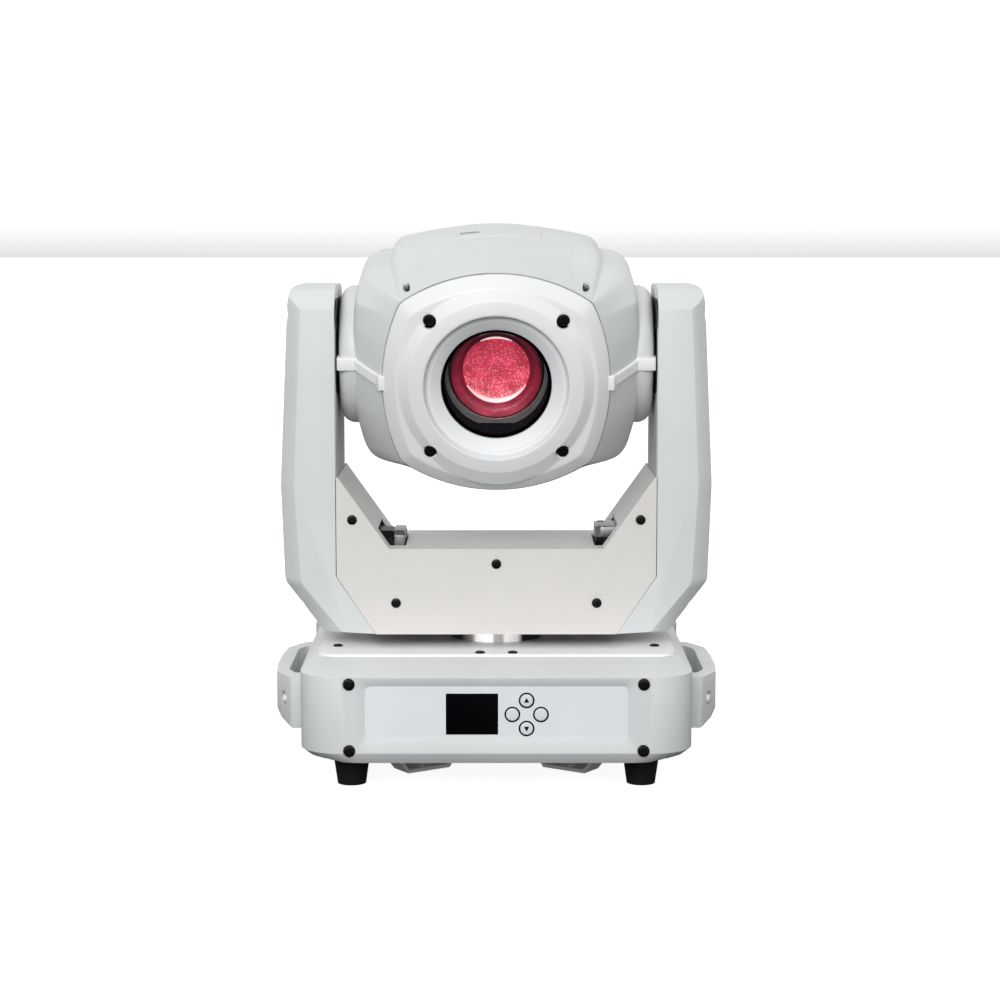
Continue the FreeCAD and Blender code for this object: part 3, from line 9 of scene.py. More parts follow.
import bmesh
import bpy
import numpy as np
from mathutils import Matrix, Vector


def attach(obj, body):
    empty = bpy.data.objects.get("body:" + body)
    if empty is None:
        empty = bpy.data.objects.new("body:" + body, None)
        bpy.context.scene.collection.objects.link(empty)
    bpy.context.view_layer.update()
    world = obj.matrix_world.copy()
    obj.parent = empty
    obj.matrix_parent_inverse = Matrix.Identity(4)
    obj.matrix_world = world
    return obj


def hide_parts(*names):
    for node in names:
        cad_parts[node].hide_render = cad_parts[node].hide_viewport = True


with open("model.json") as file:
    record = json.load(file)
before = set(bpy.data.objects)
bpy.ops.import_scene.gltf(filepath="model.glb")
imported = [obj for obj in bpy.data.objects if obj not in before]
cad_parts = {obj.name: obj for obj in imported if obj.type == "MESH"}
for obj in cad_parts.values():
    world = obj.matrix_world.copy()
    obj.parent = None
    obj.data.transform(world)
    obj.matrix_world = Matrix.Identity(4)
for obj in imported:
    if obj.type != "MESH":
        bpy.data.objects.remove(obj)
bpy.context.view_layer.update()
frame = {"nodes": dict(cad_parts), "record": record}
MM = 0.001
SIDES = ((-1, "left"), (1, "right"))
NEAR_AXIS = 0.02                    # a turned solid is left open by this much along its axis


# ---------------------------------------------------------------- materials
def fill_ramp(elements, stops):
    while len(elements) < len(stops):
        elements.new(0.5)
    for element, (position, colour) in zip(elements, stops):
        element.position = position
        element.color = (*colour, 1.0) if isinstance(colour, tuple) else (colour,) * 3 + (1.0,)


class Shader:
    """A node material under construction, with a Principled surface."""

    def __init__(self, name, colour, roughness, metallic=0.0, **sockets):
        self.material = bpy.data.materials.new(name)
        self.material.use_nodes = True
        self.tree = self.material.node_tree
        self.surface = self.tree.nodes["Principled BSDF"]
        self.set("Base Color", (*colour, 1.0))
        self.set("Roughness", roughness)
        self.set("Metallic", metallic)
        for socket, value in sockets.items():
            self.set(socket.replace("_", " "), value)
        self.place = self.node("ShaderNodeTexCoord").outputs["Object"]

    def set(self, socket, value):
        self.surface.inputs[socket].default_value = value

    def feed(self, socket, source):
        self.link(source, self.surface.inputs[socket])

    def glow(self, source, strength):
        self.feed("Emission Color", source)
        self.set("Emission Strength", strength)

    def node(self, kind, **settings):
        made = self.tree.nodes.new(kind)
        for name, value in settings.items():
            setattr(made, name, value)
        return made

    def link(self, source, target):
        self.tree.links.new(source, target)

    def noise(self, scale, detail=2.0, stretch=(1, 1, 1)):
        """Noise in object space; scale is in features per metre."""
        mapping = self.node("ShaderNodeMapping")
        mapping.inputs["Scale"].default_value = stretch
        self.link(self.place, mapping.inputs["Vector"])
        texture = self.node("ShaderNodeTexNoise")
        texture.inputs["Scale"].default_value = scale
        texture.inputs["Detail"].default_value = detail
        self.link(mapping.outputs["Vector"], texture.inputs["Vector"])
        return texture.outputs["Fac"]

    def ramp(self, source, stops):
        """Map a 0 to 1 value through (position, grey or colour) stops."""
        ramp = self.node("ShaderNodeValToRGB")
        fill_ramp(ramp.color_ramp.elements, stops)
        self.link(source, ramp.inputs["Fac"])
        return ramp.outputs["Color"]

    def vary_colour(self, source, low, high, spread=(0.3, 0.7)):
        self.feed("Base Color", self.ramp(source, [(spread[0], low), (spread[1], high)]))

    def vary_roughness(self, source, low, high):
        self.feed("Roughness", self.ramp(source, [(0.3, low), (0.7, high)]))

    def bump(self, source, strength, depth=0.0002):
        bump = self.node("ShaderNodeBump")
        bump.inputs["Strength"].default_value = strength
        bump.inputs["Distance"].default_value = depth
        self.link(source, bump.inputs["Height"])
        self.feed("Normal", bump.outputs["Normal"])

    def ramp_along(self, axis, low, high, stops):
        """Colours that change along an object-space axis between two places, in metres."""
        split = self.node("ShaderNodeSeparateXYZ")
        self.link(self.place, split.inputs[0])
        share = self.node("ShaderNodeMapRange")
        share.inputs["From Min"].default_value = low
        share.inputs["From Max"].default_value = high
        self.link(split.outputs[axis], share.inputs["Value"])
        return self.ramp(share.outputs["Result"], stops)

    def multiplied(self, first, second):
        mixed = self.node("ShaderNodeMixRGB", blend_type="MULTIPLY")
        mixed.inputs["Fac"].default_value = 1.0
        self.link(first, mixed.inputs["Color1"])
        self.link(second, mixed.inputs["Color2"])
        return mixed.outputs["Color"]


def shade(colour, factor):
    return tuple(channel * factor for channel in colour)


def moulded_plastic(name, colour, roughness=0.42, grain=1800, relief=0.12, ior=1.5):
    """Satin plastic with a fine spark-eroded grain and faint uneven gloss."""
    made = Shader(name, colour, roughness, IOR=ior)
    made.vary_colour(made.noise(14, 3), shade(colour, 0.965), shade(colour, 1.015))
    made.vary_roughness(made.noise(60, 3), roughness - 0.05, roughness + 0.07)
    made.bump(made.noise(grain, 3), relief, 0.0001)
    return made.material


def powder_coat(name, colour, roughness=0.5):
    """Powder coated sheet: orange-peel relief over fine speckle."""
    made = Shader(name, colour, roughness)
    made.vary_colour(made.noise(30, 4), shade(colour, 0.975), shade(colour, 1.01))
    made.vary_roughness(made.noise(90, 2), roughness - 0.06, roughness + 0.08)
    made.bump(made.noise(900, 4), 0.2, 0.00012)
    return made.material


def brushed_metal(name, colour, roughness, stretch, grain=700):
    """Bare metal with fine scratches that run across the stretched axis."""
    made = Shader(name, colour, roughness, metallic=1.0)
    scratches = made.noise(grain, 4, stretch)
    made.vary_colour(made.noise(40, 3), shade(colour, 0.9), shade(colour, 1.06))
    made.vary_roughness(scratches, max(roughness - 0.1, 0.05), roughness + 0.12)
    made.bump(scratches, 0.12, 0.00008)
    return made.material


def rubber(name, colour, roughness=0.75):
    """Matt rubber with a mottled, slightly pitted skin."""
    made = Shader(name, colour, roughness, Specular_IOR_Level=0.2)
    made.vary_colour(made.noise(50, 4), shade(colour, 0.8), shade(colour, 1.35))
    made.vary_roughness(made.noise(300, 3), roughness - 0.1, roughness + 0.1)
    made.bump(made.noise(1500, 3), 0.25, 0.0002)
    return made.material


def circuit_board(name):
    """Green solder mask with darker copper traces under it."""
    made = Shader(name, (0.02, 0.16, 0.06), 0.35)
    traces = made.noise(220, 1, (1, 0.15, 1))
    made.vary_colour(traces, (0.012, 0.1, 0.04), (0.03, 0.22, 0.08), (0.46, 0.54))
    made.bump(traces, 0.15, 0.0001)
    return made.material


def coated_glass(name, colour, density):
    """Clear coated glass: mostly see-through, with a faint colour cast and bright gloss."""
    made = Shader(name, colour, 0.03, Alpha=density)
    made.vary_roughness(made.noise(30, 2), 0.02, 0.05)
    return made.material


FOCUS_GLASS_SPAN = (0.305, 0.358)   # lowest and highest points of the red parts, in metres
FOCUS_CELL_SPAN = (0.296, 0.368)
PAINTED_GLINTS_PER_METRE = 620


def ruby_glass(name):
    """Red coated glass with a painted glow that stands in for the light the tube gathers behind it, brightest
    low down, with fine painted glints for its sparkle.
    """
    made = Shader(name, (0.2, 0.02, 0.03), 0.25)
    # painted light: the red is brighter low down and darker at the top
    red_with_painted_light = made.ramp_along("Z", *FOCUS_GLASS_SPAN, [
        (0.0, (0.70, 0.20, 0.22)), (0.35, (0.64, 0.1, 0.14)), (0.65, (0.60, 0.07, 0.12)),
        (1.0, (0.46, 0.02, 0.055))])
    cells = made.node("ShaderNodeTexVoronoi")
    cells.inputs["Scale"].default_value = PAINTED_GLINTS_PER_METRE
    made.link(made.place, cells.inputs["Vector"])
    # painted glints: fine specks brighter than white, which also glow
    painted_glints = made.ramp(cells.outputs["Distance"], [(0.12, (1.7, 4.2, 3.2)), (0.3, 1.0),
                                                   (0.6, (0.84, 0.45, 0.6))])
    clouds = made.ramp(made.noise(90, 4), [(0.3, (0.72, 0.6, 0.6)), (0.7, (1.25, 1.3, 1.3))])
    lit = made.multiplied(made.multiplied(red_with_painted_light, painted_glints), clouds)
    made.feed("Base Color", lit)
    # painted light: the colour glows, though the lens is no lamp
    made.glow(lit, 0.85)
    made.vary_roughness(clouds, 0.15, 0.35)
    return made.material


def glowing_red(name):
    """Deep red coating with a painted glow that stands in for the light inside the tube, most of it low down.
    """
    made = Shader(name, (0.04, 0.002, 0.005), 0.3, Specular_IOR_Level=0.15)
    # painted light: the glow is strongest low down on the cell and dies out at the top
    red_with_painted_light = made.ramp_along("Z", *FOCUS_CELL_SPAN, [
        (0.0, (0.6, 0.07, 0.12)), (0.22, (0.34, 0.012, 0.045)), (0.55, (0.16, 0.004, 0.018)),
        (0.85, (0.03, 0.001, 0.004))])
    streaks = made.ramp(made.noise(70, 3), [(0.3, (0.6, 0.55, 0.55)), (0.75, (1.25, 1.3, 1.3))])
    made.glow(made.multiplied(red_with_painted_light, streaks), 0.8)
    return made.material


def bright_rim(name):
    """Polished metal with a glow that paints in the reflection of the lamp room's light."""
    made = Shader(name, (0.95, 0.8, 0.78), 0.2, metallic=1.0)
    # painted reflection: the metal glows, though it is no lamp
    made.glow(made.ramp(made.noise(40, 3), [(0.3, (1.0, 0.72, 0.7)), (0.7, (1.0, 0.95, 0.93))]), 0.85)
    return made.material


REFLECTION_BANDS_REACH = 0.0385                # half width of the collar's painted reflection stripes, in metres


def polished_collar(name):
    """Turned steel with upright bright stripes of painted reflection that also glow, as a polished tube shows
    between two white faces.
    """
    made = Shader(name, (0.6, 0.6, 0.59), 0.3, metallic=1.0)
    # painted reflections: bright and dark stripes fixed across the collar
    painted_reflection_bands = made.ramp_along("X", -REFLECTION_BANDS_REACH, REFLECTION_BANDS_REACH, [
        (0.12, 0.01), (0.24, 0.2), (0.29, (0.86, 0.85, 0.83)),
        (0.45, (0.8, 0.79, 0.77)), (0.48, (0.3, 0.3, 0.29)), (0.56, (0.3, 0.3, 0.29)),
        (0.6, (0.72, 0.71, 0.7)), (0.73, (0.6, 0.59, 0.58)), (0.78, 0.01)])
    scratches = made.ramp(made.noise(300, 3, (1, 1, 9)), [(0.3, 0.85), (0.7, 1.05)])
    made.glow(made.multiplied(painted_reflection_bands, scratches), 0.65)
    made.feed("Base Color", painted_reflection_bands)
    return made.material


COOL_WHITE = (0.69, 0.71, 0.715)
WARM_WHITE = (0.72, 0.70, 0.68)
BEZEL_WHITE = (0.81, 0.825, 0.84)
# Each material's function and the settings it takes after its name.
RECIPES = {
    "shell_plastic": (moulded_plastic, COOL_WHITE),
    "white_sheet": (powder_coat, WARM_WHITE),
    "bezel_plastic": (moulded_plastic, BEZEL_WHITE, 0.36, 2400, 0.06),
    "trim_plastic": (moulded_plastic, (0.9, 0.91, 0.92), 0.36, 2400, 0.06),
    "gasket_rubber": (rubber, (0.3, 0.305, 0.31)),
    "panel_overlay": (moulded_plastic, (0.80, 0.83, 0.86), 0.34, 3000, 0.04),
    "screen": (moulded_plastic, (0.002, 0.002, 0.003), 0.3, 3000, 0.02, 1.08),
    "key_plastic": (moulded_plastic, (0.74, 0.77, 0.80), 0.4),
    "black_screw": (brushed_metal, (0.02, 0.02, 0.022), 0.38, (1, 1, 1)),
    "rubber": (rubber, (0.006, 0.0065, 0.008)),
    "black_plastic": (moulded_plastic, (0.015, 0.015, 0.017), 0.45),
    "black_metal": (powder_coat, (0.012, 0.012, 0.014), 0.5),
    "steel": (brushed_metal, (0.42, 0.41, 0.40), 0.4, (1, 8, 1)),
    "shaft_steel": (brushed_metal, (0.7, 0.7, 0.69), 0.22, (1, 1, 12)),
    "motor_metal": (brushed_metal, (0.32, 0.33, 0.34), 0.42, (1, 1, 1)),
    "aluminium": (brushed_metal, (0.66, 0.67, 0.68), 0.34, (1, 10, 1)),
    "circuit_board": (circuit_board,),
    "belt_rubber": (rubber, (0.02, 0.02, 0.02), 0.65),
    "lens_glass": (coated_glass, (0.1, 0.1, 0.12), 0.05),
    "ruby_glass": (ruby_glass,),
    "coated_red": (glowing_red,),
    "bright_rim": (bright_rim,),
    "dark_steel": (brushed_metal, (0.035, 0.036, 0.04), 0.45, (1, 1, 1)),
    "lens_black": (moulded_plastic, (0.0015, 0.0007, 0.0008), 0.35, 3000, 0.02, 1.01),
    # lighter copy of the sheet for the deck: painted light against the yoke's shade
    "deck_coat": (powder_coat, (0.92, 0.91, 0.90)),
    "bright_steel": (polished_collar,),
    "wheel_metal": (brushed_metal, (0.45, 0.46, 0.47), 0.3, (1, 1, 1)),
}
MATERIALS = {name: recipe(name, *settings) for name, (recipe, *settings) in RECIPES.items()}


# ---------------------------------------------------------------- mesh helpers
def rows_of(values):
    return np.array(values, float)


def make_mesh(points, faces):
    """A mesh from points in millimetres, with outward normals."""
    mesh = bpy.data.meshes.new("mesh")
    mesh.from_pydata([tuple(point * MM) for point in rows_of(points)], [], faces)
    work = bmesh.new()
    work.from_mesh(mesh)
    bmesh.ops.remove_doubles(work, verts=work.verts, dist=0.00002)
    bmesh.ops.recalc_face_normals(work, faces=work.faces)
    work.to_mesh(mesh)
    work.free()
    return mesh


def joined_rows(count, width, start=0, closed=True):
    """Quads between rows of points laid one after another."""
    last = width if closed else width - 1
    return [(start + row * width + col, start + row * width + (col + 1) % width,
             start + (row + 1) * width + (col + 1) % width, start + (row + 1) * width + col)
            for row in range(count - 1) for col in range(last)]


def lofted(rings):
    """A closed solid through rings of points, capped at both ends."""
    rings = rows_of(rings)
    count, width = rings.shape[:2]
    faces = joined_rows(count, width)
    faces += [tuple(range(width)), tuple(range((count - 1) * width, count * width))]
    return make_mesh(rings.reshape(-1, 3), faces)


def looped(rings):
    """A closed solid through rings of points, the last joined to the first."""
    rings = rows_of(rings)
    count, width = rings.shape[:2]
    faces = joined_rows(count + 1, width)
    total = count * width
    return make_mesh(rings.reshape(-1, 3), [tuple(i % total for i in face) for face in faces])


def thick_sheet(outer, inner):
    """A closed wall between two open grids of points."""
    outer, inner = rows_of(outer), rows_of(inner)
    count, width = outer.shape[:2]
    total = count * width
    faces = joined_rows(count, width, 0, False) + joined_rows(count, width, total, False)
    rim = list(range(width)) + [row * width + width - 1 for row in range(1, count)]
    rim += [total - 1 - col for col in range(1, width)]
    rim += [row * width for row in range(count - 2, 0, -1)]
    for here, there in zip(rim, rim[1:] + rim[:1]):
        faces.append((here, there, there + total, here + total))
    return make_mesh(np.concatenate([outer.reshape(-1, 3), inner.reshape(-1, 3)]), faces)


def polygon_prism(outline, low, high, axis="Z"):
    """A straight solid over an outline. The outline's plane is XY, XZ or YZ for axis Z, Y or X."""
    place = {"Z": lambda u, v, w: (u, v, w), "Y": lambda u, v, w: (u, w, v),
             "X": lambda u, v, w: (w, u, v)}[axis]
    return lofted([[place(u, v, w) for u, v in outline] for w in (low, high)])


def around(steps):
    """Angles of evenly spaced points round a circle."""
    return np.linspace(0, 2 * math.pi, steps, endpoint=False)


def turned(profile, steps, to_row):
    """A solid of revolution: profile is a closed loop of (along, radius), and to_row places a
    point given along its axis and across it."""
    return looped([[to_row(along, radius * math.cos(a), radius * math.sin(a))
                              for along, radius in profile] for a in around(steps)])


def round_corners(corners, radius, steps=6):
    """An outline with its corners rounded; radius is one number or one per corner."""
    made = []
    count = len(corners)
    radii = radius if hasattr(radius, "__len__") else [radius] * count
    for index in range(count):
        before, here, after = (rows_of(corners[(index + shift) % count]) for shift in (-1, 0, 1))
        to_before, to_after = before - here, after - here
        a, b = np.linalg.norm(to_before), np.linalg.norm(to_after)
        half = math.acos(np.clip(to_before @ to_after / (a * b), -1, 1)) / 2
        reach = min(radii[index] / max(math.tan(half), 1e-6), 0.45 * a, 0.45 * b)
        first, last = here + to_before / a * reach, here + to_after / b * reach
        if radii[index] <= 0:
            made.append(tuple(here))
            continue
        for t in np.linspace(0, 1, steps):
            point = (1 - t) ** 2 * first + 2 * t * (1 - t) * here + t**2 * last
            made.append(tuple(point))
    return made


def circle(centre, radius, steps=32):
    return [(centre[0] + radius * math.cos(a), centre[1] + radius * math.sin(a))
            for a in around(steps)]


def rectangle(low_x, low_y, high_x, high_y):
    return [(low_x, low_y), (high_x, low_y), (high_x, high_y), (low_x, high_y)]


def as_object(mesh, name="tool"):
    obj = bpy.data.objects.new(name, mesh)
    bpy.context.scene.collection.objects.link(obj)
    return obj


def settled(obj):
    """The object's mesh with its modifiers applied."""
    graph = bpy.context.evaluated_depsgraph_get()
    mesh = bpy.data.meshes.new_from_object(obj.evaluated_get(graph))
    obj.modifiers.clear()
    old = obj.data
    obj.data = mesh
    bpy.data.meshes.remove(old)
    return mesh


def carve(mesh, tools, operation="DIFFERENCE"):
    """The mesh with each tool mesh cut away, or added, or kept in common."""
    body = as_object(mesh)
    for tool in tools:
        other = as_object(tool)
        step = body.modifiers.new("carve", "BOOLEAN")
        step.operation = operation
        step.solver = "MANIFOLD"
        step.object = other
        settled(body)
        bpy.data.objects.remove(other)
    result = body.data
    bpy.data.objects.remove(body)
    return result


def softened(mesh, width, segments=3, angle=30):
    """The mesh with its hard edges rounded; width in millimetres."""
    body = as_object(mesh)
    step = body.modifiers.new("soften", "BEVEL")
    step.width = width * MM
    step.segments = segments
    step.limit_method = "ANGLE"
    step.angle_limit = math.radians(angle)
    step.use_clamp_overlap = True
    settled(body)
    result = body.data
    bpy.data.objects.remove(body)
    return result


def add_piece(name, mesh, slot, body, replaces=(), crease=32, material=None):
    """Show a mesh as a piece that rides on a body and takes its finish from a slot."""
    mesh.polygons.foreach_set("use_smooth", [True] * len(mesh.polygons))
    mesh.set_sharp_from_angle(angle=math.radians(crease))
    mesh.materials.clear()
    mesh.materials.append(MATERIALS[material or slot])
    piece = as_object(mesh, name)
    piece.data.name = name
    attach(piece, body)
    if replaces:
        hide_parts(*replaces)
    return piece


def combined(meshes):
    """Several meshes as one."""
    work = bmesh.new()
    for mesh in meshes:
        work.from_mesh(mesh)
    made = bpy.data.meshes.new("mesh")
    work.to_mesh(made)
    work.free()
    return made


# ---------------------------------------------------------------- head
TILT_Z = 342
REST_TILT = math.radians(9)


def head_points(points):
    """Points of the level head, as (x, forward, up), carried to where the head rests."""
    points = rows_of(points)
    c, s = math.cos(REST_TILT), math.sin(REST_TILT)
    x, forward, up = points[..., 0], points[..., 1], points[..., 2]
    return np.stack([x, -forward * c - up * s, TILT_Z - forward * s + up * c], axis=-1)


FRONT_EDGE = 94.8
BACK_EDGE = -125.2
# Half width, half height, and the radii of the side and top arcs of an end plate's edge.
BEZEL_PLATE = (91, 88.2, 150, 135)
BACK_PLATE = (88, 76, 420, 420)
BEZEL_DROP = 3                      # the bezel and the lens sit a little below the tilt axis

# Outline of the shell round the tilt axis, from the side seam over to the middle.  Each row is
# x, up, corner radius, place along the end plate's edge (0 side, 1 corner, 2 middle), and how
# far forward the full section reaches.
UPPER_OUTLINE = (
    (117.0, 0.0, 0, 0.00, 52), (116.5, 30.0, 40, 0.45, 52), (115.0, 52.0, 14, 0.80, 48),
    (112.4, 65.0, 4, 0.97, 34), (107.2, 73.0, 7, 0.99, 30), (98.5, 76.8, 6, 1.00, 26),
    (87.3, 78.2, 2, 1.01, 22), (84.6, 86.0, 4, 1.03, 16), (79.4, 91.4, 7, 1.06, 8),
    (62.0, 95.4, 60, 1.22, -6), (38.0, 99.5, 60, 1.52, -14), (18.0, 102.0, 40, 1.78, -16),
    (0.0, 102.7, 0, 2.00, -16))
LOWER_OUTLINE = (
    (117.0, 0.0, 0, 0.00, 52), (116.0, 30.0, 30, 0.42, 52), (113.0, 50.0, 12, 0.76, 46),
    (108.5, 70.0, 12, 0.94, 38), (102.5, 80.5, 8, 0.99, 32), (88.0, 87.0, 12, 1.04, 28),
    (64.0, 90.5, 40, 1.24, 26), (30.0, 94.2, 40, 1.66, 24), (0.0, 95.0, 0, 2.00, 24))


def plate_edge(place, plate):
    """Point on a quarter of a plate edge made of a side arc and a top arc."""
    half_width, half_height, side_radius, top_radius = plate
    sweep = np.linspace(0, math.radians(60), 2000)
    side_x = half_width + side_radius * (np.cos(sweep) - 1)
    beyond = np.hypot(side_x, side_radius * np.sin(sweep) - half_height + top_radius) - top_radius
    corner = sweep[np.argmax(beyond > 0)]
    top_corner = math.asin((half_width + side_radius * (math.cos(corner) - 1)) / top_radius)
    place = rows_of(place)
    along_side = np.clip(place, 0, 1) * corner
    along_top = np.clip(2 - place, 0, 1) * top_corner
    side = [half_width + side_radius * (np.cos(along_side) - 1), side_radius * np.sin(along_side)]
    top = [top_radius * np.sin(along_top), half_height + top_radius * (np.cos(along_top) - 1)]
    return np.where(place <= 1, side, top).T


def sample_outline(outline, per_leg=14):
    """Matched samples along an outline: section points, places on the end plate, front reach."""
    knots = rows_of(outline)
    samples = []
    last = len(knots) - 1
    for index in range(last):
        here, there = knots[index], knots[index + 1]
        for t in np.linspace(0, 1, per_leg, endpoint=False):
            samples.append(here + (there - here) * t)
    samples.append(knots[-1])
    samples = rows_of(samples)
    spot = np.concatenate([[0], np.cumsum(np.hypot(*np.diff(samples[:, :2], axis=0).T))])
    rounded = samples.copy()
    for index in range(1, last):
        middle = spot[index * per_leg]
        reach = knots[index, 2] * 0.7
        before = min(reach, 0.5 * (middle - spot[(index - 1) * per_leg]))
        after = min(reach, 0.5 * (spot[(index + 1) * per_leg] - middle))
        near = (spot > middle - before) & (spot < middle + after)
        t = (spot[near] - middle + before) / (before + after)
        first = [np.interp(middle - before, spot, samples[:, k]) for k in (0, 1)]
        final = [np.interp(middle + after, spot, samples[:, k]) for k in (0, 1)]
        for k in (0, 1):
            rounded[near, k] = ((1 - t)**2 * first[k] + 2 * t * (1 - t) * knots[index, k]
                                + t**2 * final[k])
    return rounded[:, :2], rounded[:, 3], rounded[:, 4]


def eased(share, softness=0.1):
    """Rises straight from 0 and levels out at 1 over a short rounding."""
    low = 0.5 * (1 - math.sqrt(1 + softness**2))
    return (0.5 * (share + 1 - np.sqrt((share - 1)**2 + softness**2)) - low) / (1 - low)


def shell_section(outline, forward, inset=0.0):
    """One cross-section of a shell half, from the right seam over to the left seam."""
    middle, place, reach = sample_outline(outline)
    front, back = plate_edge(place, BEZEL_PLATE), plate_edge(place, BACK_PLATE)
    front[:, 1] += BEZEL_DROP if outline is LOWER_OUTLINE else -BEZEL_DROP
    share = eased((FRONT_EDGE - forward) / (FRONT_EDGE - reach))[:, None]
    fall_start = np.where(place < 1, -58, -42)
    fall = np.clip((fall_start - forward) / (fall_start - BACK_EDGE), 0, 1) ** 1.3
    points = front + (middle - front) * share
    points = points + (back - middle) * fall[:, None]
    lengths = np.linalg.norm(points, axis=1, keepdims=True)
    points = points * (1 - inset / lengths)
    mirrored = points[-2::-1] * [-1, 1]
    return np.concatenate([points, mirrored])


SHELL_STATIONS = np.concatenate([np.linspace(FRONT_EDGE, -20, 80), np.linspace(-21, BACK_EDGE, 62)])


def shell_grid(outline, sign, inset=0.0):
    grid = []
    for forward in SHELL_STATIONS:
        section = shell_section(outline, forward, inset)
        grid.append(np.stack([section[:, 0], np.full(len(section), forward), sign * section[:, 1]], -1))
    return head_points(grid)


def head_rod(x, up, radius, back, front, steps=32):
    """A straight round cutter along the optical axis."""
    rim = circle((x, up), radius, steps)
    return lofted(head_points([[(a, forward, b) for a, b in rim] for forward in (back, front)]))


def head_block(outline, low, high):
    """A straight solid along the head's up direction over an (x, forward) outline."""
    return lofted(head_points([[(x, forward, up) for x, forward in outline] for up in (low, high)]))


def head_turned(profile, steps=120):
    """A solid of revolution about the tilt axis; profile is a closed loop of (x, radius)."""
    return turned(profile, steps, lambda x, forward, up: head_points((x, forward, up)))


SHELL_WALL = 3.0
HUB_RADIUS = 29.5
SHELL_SCREWS = {"top": (71.0, 70.3), "bottom": (72.0, 74.4)}
WELL_RADIUS = 3.1
WELL_HOLE = (60, 100)               # back and front of the hole, the cup and the screw in it
WELL_CUP = (58, 71)
WELL_SCREW = (69, 73)
CROWN_SLOT = (-30, -10, -14, -4.5)


def make_head_shells():
    """Two moulded halves with stepped shoulders, parted at the side trims."""
    for label, outline, sign in (("top", UPPER_OUTLINE, 1), ("bottom", LOWER_OUTLINE, -1)):
        skin = thick_sheet(shell_grid(outline, sign), shell_grid(outline, sign, SHELL_WALL))
        x, up = SHELL_SCREWS[label]
        cuts = [head_rod(side * x, sign * up, WELL_RADIUS, *WELL_HOLE) for side, _ in SIDES]
        cuts += [head_turned([(side * 60, NEAR_AXIS), (side * 60, HUB_RADIUS), (side * 140, HUB_RADIUS),
                              (side * 140, NEAR_AXIS)]) for side, _ in SIDES]
        if label == "top":
            cuts.append(head_block(round_corners(rectangle(*CROWN_SLOT), 1.5), 96, 110))
        add_piece(f"head_{label}_skin", carve(skin, cuts), "shell_plastic", "head",
                  [f"head_{label}_shell"], crease=24)
        for side, word in SIDES:
            cup = head_rod(side * x, sign * up, WELL_RADIUS - 0.05, *WELL_CUP)
            add_piece(f"screw_well_{label}_{word}", softened(cup, 0.3), "shell_plastic", "head")
            head = head_rod(side * x, sign * up, 1.9, *WELL_SCREW)
            add_piece(f"shell_screw_{label}_{word}", softened(head, 0.5), "steel", "head")


CHEEK_RADIUS = 57
CHEEK_FACE = 128
CHEEK_RIM = 11
CHEEK_BACK = 104
CHEEK_DISH = 1.4


def make_cheeks():
    """Round bosses that carry the head on the tilt axis, open at the hub."""
    profile = [(CHEEK_BACK, HUB_RADIUS), (CHEEK_BACK, CHEEK_RADIUS),
               (CHEEK_FACE - CHEEK_RIM, CHEEK_RADIUS)]
    profile += [(CHEEK_FACE - CHEEK_RIM * (1 - math.sin(a)), CHEEK_RADIUS - CHEEK_RIM * (1 - math.cos(a)))
                for a in np.linspace(0.12, math.pi / 2, 10)]
    profile += [(CHEEK_FACE, 36), (CHEEK_FACE - CHEEK_DISH, 33.5), (CHEEK_FACE - CHEEK_DISH, HUB_RADIUS)]
    for side, word in SIDES:
        mesh = head_turned([(side * x, radius) for x, radius in profile])
        add_piece(f"head_cheek_{word}", mesh, "shell_plastic", "head")


TRIM_RISE = 3.5
TRIM_DROP = 6.5                     # how far the strip falls from the cheek to the bezel
TRIM_HALF = 4.5
TRIM_EDGE = 0.8
TRIM_FRONT = 95
TRIM_BACK = 56
TRIM_BLOCK = ((112, 54), (112, 58.6), (127.8, 58.6), (129, 57.4), (129, 44), (124, 44), (124, 54))
TRIM_TAB = ((88, 88), (88, 98.4), (93.4, 98.4), (96.4, 88))


def make_side_trims():
    """Strip over the shell joint, with a square block on the cheek and a tab at the bezel."""
    for side, word in SIDES:
        rings = []
        for forward in np.linspace(TRIM_FRONT, TRIM_BACK, 14):
            reach = shell_section(UPPER_OUTLINE, forward)[0, 0]
            low, high = reach - 2, reach + 2
            rise = TRIM_RISE - TRIM_DROP * (forward - TRIM_BACK) / (TRIM_FRONT - TRIM_BACK)
            corners = [(low, -TRIM_HALF), (high - TRIM_EDGE, -TRIM_HALF), (high, TRIM_EDGE - TRIM_HALF),
                       (high, TRIM_HALF - TRIM_EDGE), (high - TRIM_EDGE, TRIM_HALF), (low, TRIM_HALF)]
            rings.append([(side * x, forward, up + rise) for x, up in corners])
        strip = lofted(head_points(rings))
        block = head_block([(side * x, forward) for x, forward in TRIM_BLOCK],
                           TRIM_RISE - TRIM_HALF - 0.6, TRIM_RISE + TRIM_HALF + 0.6)
        tab = head_block([(side * x, forward) for x, forward in TRIM_TAB],
                         -TRIM_HALF - 1.4 - BEZEL_DROP, TRIM_HALF + 1.4 - BEZEL_DROP)
        mesh = combined([strip, softened(block, 0.6), softened(tab, 0.6)])
        add_piece(f"side_trim_{word}", mesh, "bezel_plastic", "head",
                  ["side_trims"] if side < 0 else (), material="trim_plastic")


